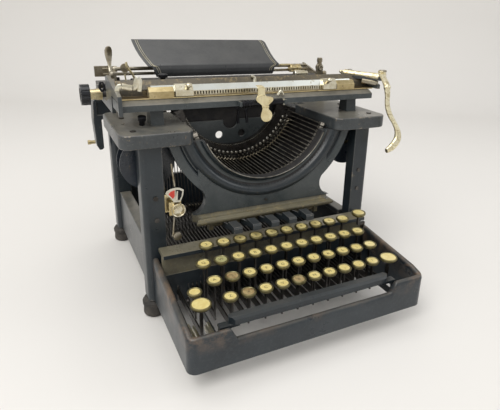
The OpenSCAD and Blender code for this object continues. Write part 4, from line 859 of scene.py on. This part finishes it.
def left_cluster():
    """Detent plates and levers at the left end of the platen frame, with a pawl lever and screws."""
    plates = Shape()
    plates.block((-157, 309.2, 247), (-140, 310.8, 260))
    plates.block((-142.4, 258, 254), (-124, 265, 257.2))
    plates.lathe((-140.5, 270, 260.5), ACROSS, [(0, 0), (3.2, 0.2), (3.5, 0.8), (3.5, 4.8), (3.1, 5.4),
                                                (0, 5.5)], 20)
    plates.lathe((-127.3, 264.2, 262.2), FRONT, [(0, 0), (4.9, 0.1), (5.4, 0.7), (5.4, 2.2), (3.2, 2.6),
                                                 (0, 2.7)], 24)
    plates.make("left_detent_plates", "platen_frame", DULL_NICKEL, width=0.3)
    levers = Shape()
    levers.tube([(-129.1, 240, 271.5), (-127.9, 240, 264.8), (-124.3, 240, 260.1), (-121.3, 240, 254.3),
                 (-119.8, 240, 250)], 1.0, 8, 4, (1.3, 0.8))
    levers.tube([(-131.2, 241, 258), (-130.6, 241, 251.2), (-128.2, 241, 245.3), (-121.9, 241, 246.3),
                 (-120.6, 241, 251)], 0.9, 8, 4)
    levers.make("left_detent_levers", "platen_frame", GILT)
    bent = Shape()
    bent.tube([(-153.7, 160, 247.7), (-152.6, 160, 254.6), (-148.2, 160, 255.9), (-141, 160, 254.4),
               (-135.7, 160, 254.6), (-133.1, 160, 262.4), (-130.6, 160, 260.4), (-131.6, 160, 250.4)],
              [1.2, 1.3, 1.5, 1.6, 1.5, 1.4, 1.4, 1.2], 10, 5, (1.9, 1.0))
    bent.make("left_pawl_lever", "carriage", CREAM_METAL)
    small = Shape()
    small.lathe((-97, 201, 253), UP, [(4.6, 0), (4.6, 2), (3.0, 2.6), (3.0, 5), (5.4, 5.4), (5.4, 8.2),
                                      (4.4, 9), (0, 9.1)], 16)
    small.lathe((-133.4, 149, 218.5), (0, -0.3, 1), [(3, 0), (3, 5), (4.2, 5.3), (4.2, 9), (2, 9.4),
                                                     (0, 9.5)], 16)
    small.tube([(-158.8, 232, 240), (-161.5, 232, 245.5), (-158.8, 232, 251), (-156, 232, 245.5),
                (-158.8, 232, 240)], 1.2, 8, 5)
    small.make("left_screws", "carriage", BLACK_STEEL)


def centre_clips():
    """Small clips and a screw at the middle of the rail."""
    shape = Shape()
    shape.tube([(3, 173, 252), (3, 174, 258.5), (-1.2, 174.5, 260)], [2.4, 2.0, 1.4], 10, 3)
    shape.tube([(21.6, 149.5, 241.5), (25, 148.5, 245.8), (28.6, 149.5, 241.8)], 1.5, 8, 4)
    shape.lathe((25.5, 143, 234.6), (0.3, -1, 0), [(3.6, 0), (3.6, 1.6), (2.8, 2.4), (0, 2.6)], 16)
    shape.make("rail_clips", "carriage", CREAM_METAL)


def right_cluster():
    """Rod collar, ring post and knurled nut at the right end of the platen frame."""
    shape = Shape()
    shape.lathe((102, 300, 258), ACROSS, [(0, 0), (1.7, 0.1), (1.7, 16.5), (0, 16.6)], 14)
    shape.lathe((118, 301, 253), ACROSS, [(0, 0), (5.2, 0.2), (5.8, 0.9), (5.8, 6), (4.6, 6.6), (4.6, 11),
                                          (5.8, 11.6), (5.8, 17), (5.2, 17.8), (2.2, 18), (2.2, 21),
                                          (0, 21.1)], 20)
    shape.make("paper_rod_collar", "platen_frame", BRASS, width=0.2)
    post = Shape()
    outline = [(-4.6, 0), (-4.1, 4.2), (-3.8, 7.7), (-4.9, 11.2), (-4.4, 14), (-2.5, 15.8), (-2.1, 18.2),
               (-3, 19.2), (-3, 22.4), (3, 22.4), (3, 19.2), (2.1, 18.2), (2.5, 15.8), (4.4, 14),
               (5.2, 11.2), (4.5, 7.7), (5.1, 4.2), (6, 0)]
    post.slab(outline, (122.5, 224, 251), ACROSS, UP, 5)
    post.lathe((122.6, 221, 262), FRONT, [(3.6, 0), (3.6, 1.4), (2.4, 1.7), (2.1, 0.8), (0, 0.7)], 24)
    post.lathe((122.5, 224, 273), UP, [(3.2, 0), (3.6, 0.4), (3.6, 1.8), (3.0, 2.3), (0, 2.4)], 16)
    post.lathe((134, 229, 251.5), UP, [(3.4, 0), (3.4, 3.4), (2.6, 4.8), (1.4, 5.6), (0, 5.8)], 16)
    post.make("right_release_post", "platen_frame", DULL_NICKEL, width=0.5)
    nut = Shape()
    nut.lathe((88, 232, 254), ACROSS, [(0, 0), (3.6, 0.1), (4.2, 0.8), (4.2, 16), (3.4, 16.8), (3.4, 20),
                                       (2.2, 20.6), (0, 20.7)], 16)
    nut.make("feed_roll_nut", "platen_frame", CREAM_METAL, width=0.2)


def platen_trough():
    """Black paper trough under the platen, and the ring that carries the ribbon to the type."""
    half, outer, inner = 104, 23, 21.8
    section = [(outer, a) for a in range(218, 317, 7)] + [(inner, a) for a in range(316, 217, -7)]
    shape = Shape()
    shape.rings([[(x, PLATEN_Y + r * math.cos(math.radians(a)), PLATEN_Z + r * math.sin(math.radians(a)))
                  for r, a in section] for x in (-half, half)])
    shape.make("paper_trough", "platen_frame", BLACK, degrees=40)
    ring = Shape()
    ring.tube([(5 + 9.5 * math.cos(math.radians(a)), 214, 221 + 11 * math.sin(math.radians(a)))
               for a in range(-60, 241, 20)], 1.3, 8, 2)
    for top_x, foot_x in ((0, -1), (10, 11)):
        ring.tube([(top_x, 214, 212), (foot_x, 214, 204), (foot_x, 212, 196)], 1.8, 8, 3)
    ring.make("ribbon_carrier", "frame", BLACK_STEEL)


paper_release()
left_cluster()
centre_clips()
right_cluster()
platen_trough()


def paper_table():
    """Sheet that leans back over the platen, with a curl at the foot, wings and embossed border lines.

    left and right give the side edges: a share of the way up, and x there.
    """
    left = [(0.00, -87.0), (0.08, -88.2), (0.18, -90.0), (0.26, -91.5), (0.28, -95.0), (0.30, -97.0),
            (0.42, -100.0), (0.56, -103.0), (0.75, -105.5), (0.90, -106.5), (1.0, -106.8)]
    right = [(0.00, 77.0), (0.10, 78.5), (0.20, 79.5), (0.24, 84.5), (0.28, 87.5), (0.33, 86.0),
             (0.44, 84.2), (0.60, 83.5), (0.80, 84.0), (0.92, 84.4), (0.97, 83.2), (1.0, 80.5)]

    def read(table, t):
        for (t0, x0), (t1, x1) in zip(table, table[1:]):
            if t <= t1:
                return x0 + (x1 - x0) * (t - t0) / (t1 - t0)
        return table[-1][1]

    heights = sorted({t for t, _ in left + right} | {0.04, 0.12, 0.5, 0.68, 0.985})
    foot = [(274.6, 249.5), (273.4, 253.5), (273.6, 258.5), (275.6, 263)]
    head = (322, 292)

    def between(a, b, f):
        return a[0] + (b[0] - a[0]) * f, a[1] + (b[1] - a[1]) * f

    def place(t):
        """y and z at a share of the way up: the curl takes the first 0.3, the flat sheet the rest."""
        k = t / 0.3
        if k < 1:
            i = min(int(k * 3), 2)
            return between(foot[i], foot[i + 1], k * 3 - i)
        return between(foot[3], head, (t - 0.3) / 0.7)

    shape = Shape()
    count = 40
    rows = []
    for t in heights:
        y, z = place(t)
        x0, x1 = read(left, t), read(right, t)
        front = [(x0 + (x1 - x0) * i / count, y, z) for i in range(count + 1)]
        rows.append(front + [(x, y + 1.1, z - 0.7) for x, _, _ in reversed(front)])
    shape.rings(rows)
    shape.slot = 1  # the border lines, and a painted highlight along the foot
    for inset in (4.5, 7.0):
        for table, side in ((left, 1), (right, -1)):
            line = []
            for t in [0.10 + 0.04 * i for i in range(23)]:
                y, z = place(t)
                line.append((read(table, t) + side * inset, y - 0.25, z + 0.15))
            shape.tube(line, 0.3, 6, 1)
    # Painted highlight: a thin bright tube along the curl at the foot.
    y, z = place(0.1)
    shape.tube([(-52, y - 0.6, z), (60, y - 0.6, z)], 0.4, 6, 1)
    shape.slot = 0
    for x in (-71, 49):
        shape.lathe((x - 3, 309, 249.5), ACROSS, [(4, 0), (4, 6)], 20)
        shape.slab([(308, 247), (308, 251), (301.5, 277), (290.5, 268.5)], (x, 0, 0), BACK, UP, 6)
    shape.make("paper_table_sheet", "platen_frame", SHEET, CREAM_METAL, degrees=40,
               replaces=("paper_table",))


paper_table()


def ribbon_selector():
    """Fan plate with a red and a black window, over its knurled cup."""
    x, y, z = -108.5, 121.2, 133.0
    shape = Shape()
    fan = [(-2.6, 6.5), (-6, 12), (-11, 17), (-9.6, 19.6), (-5.2, 21.6), (-0.6, 22.4), (4, 21.8),
           (8.4, 19.2), (7.4, 13), (5.2, 8), (3.4, 6)]
    red = [(-3.6, 10.6), (-8.2, 16.6), (-5.4, 19.2), (-1.4, 20.2), (-1.6, 13.4)]
    black = [(-0.6, 9.4), (-0.3, 20.3), (3.6, 20), (6.6, 17.8), (5.6, 12.6), (3.2, 8.4)]
    pointer = [(-1.0, 9), (0.6, 19), (2.0, 18.6), (1.2, 9)]
    for slot, outline, dy, thick in ((0, fan, 0.8, 1.4), (1, red, 0, 0.4), (2, black, 0, 0.4),
                                     (0, pointer, -0.4, 0.5)):
        shape.slot = slot
        shape.slab(outline, (x, y + dy, z), ACROSS, UP, thick)
    shape.slot = 3
    shape.lathe((x + 1.5, y - 0.4, z - 2.5), FRONT, [(0, -6), (5.6, -6), (6.2, -4), (7.6, 0), (7.8, 1.6),
                                                     (7.2, 2.0), (6.4, 1.4), (5.2, -2.6), (0, -3.2)], 28)
    shape.slot = 4
    shape.block((x - 8, y + 0.2, z - 8), (x - 2.6, y + 2.4, z + 7))
    shape.make("ribbon_selector_fan", "ribbon_selector", WHITE, RED, BLACK_STEEL, NICKEL, BRASS, width=0.25,
               replaces=("ribbon_selector",))


ribbon_selector()


def selector_links():
    """Link above the ribbon selector, and the rod and cup below it."""
    rod = Shape()
    rod.tube([(-112, 122.6, 182), (-110.6, 122.6, 168), (-109.4, 122.6, 157)], 1.0, 8, 3)
    rod.tube([(-111, 123.5, 122), (-112, 123.5, 112), (-113.5, 123.5, 100)], 1.2, 8, 3)
    rod.lathe((-109, 120.8, 100), FRONT, [(4.6, -2), (4.6, 0.4), (3.6, 1.0), (1.8, 1.2), (0, 1.3)], 18)
    rod.make("selector_links", "frame", DULL_NICKEL)


selector_links()


# Floor, backdrop and light ------------------------------------------------

def pale(name, colour):
    look = Look(name, 0.9)
    look.colour(look.ramp(look.noise(1.5, 2, 0.5), (0.3, tuple(c * 0.985 for c in colour)), (0.7, colour)))
    return look.material


def make_stage():
    """Pale floor that bends up into a backdrop behind the object; lengths are in metres."""
    size, bend_y, bend_r, wall_y, wall_top = 3.0, 1.1, 0.35, 1.45, 2.4
    mesh = bpy.data.meshes.new("floor")
    rows = [(-size, 0.0)] + [(bend_y + bend_r * math.sin(a), bend_r - bend_r * math.cos(a))
                             for a in [math.radians(6 * i) for i in range(16)]] + [(wall_y, wall_top)]
    verts = [(x, y, z) for (y, z) in rows for x in (-size, size)]
    faces = [(2 * i, 2 * i + 1, 2 * i + 3, 2 * i + 2) for i in range(len(rows) - 1)]
    mesh.from_pydata(verts, [], faces)
    shade(mesh, 60)
    mesh.materials.append(pale("pale floor", (0.735, 0.72, 0.695)))
    made = bpy.data.objects.new("floor", mesh)
    bpy.context.collection.objects.link(made)
    made.rotation_euler = (0, 0, math.radians(-27.5))


def lamp(name, place, target, size, power, colour=(1, 1, 1)):
    """A square soft light; lengths are in metres and power in watts."""
    data = bpy.data.lights.new(name, "AREA")
    data.shape, data.size = "SQUARE", size
    data.energy, data.color = power, colour
    made = bpy.data.objects.new(name, data)
    bpy.context.collection.objects.link(made)
    made.location = place
    made.rotation_mode = "QUATERNION"
    made.rotation_quaternion = (Vector(target) - Vector(place)).to_track_quat("-Z", "Y")


def make_light():
    """A pale world and three soft lamps, at a plain level."""
    world = bpy.data.worlds.new("world")
    world.use_nodes = True
    sky = world.node_tree.nodes["Background"].inputs
    sky["Color"].default_value, sky["Strength"].default_value = (1.0, 0.985, 0.965, 1), 0.6
    bpy.context.scene.world = world
    lamp("key", (-1.2, -0.9, 1.7), (0, 0, 0.12), size=1.2, power=24, colour=(1.0, 0.98, 0.95))
    lamp("top", (-0.3, 0.0, 2.0), (0, 0, 0.1), size=1.6, power=14)
    lamp("side", (1.4, -0.7, 0.9), (0, 0, 0.12), size=0.8, power=4, colour=(0.95, 0.97, 1.0))


make_stage()
make_light()
bpy.context.scene.view_settings.view_transform = "Standard"
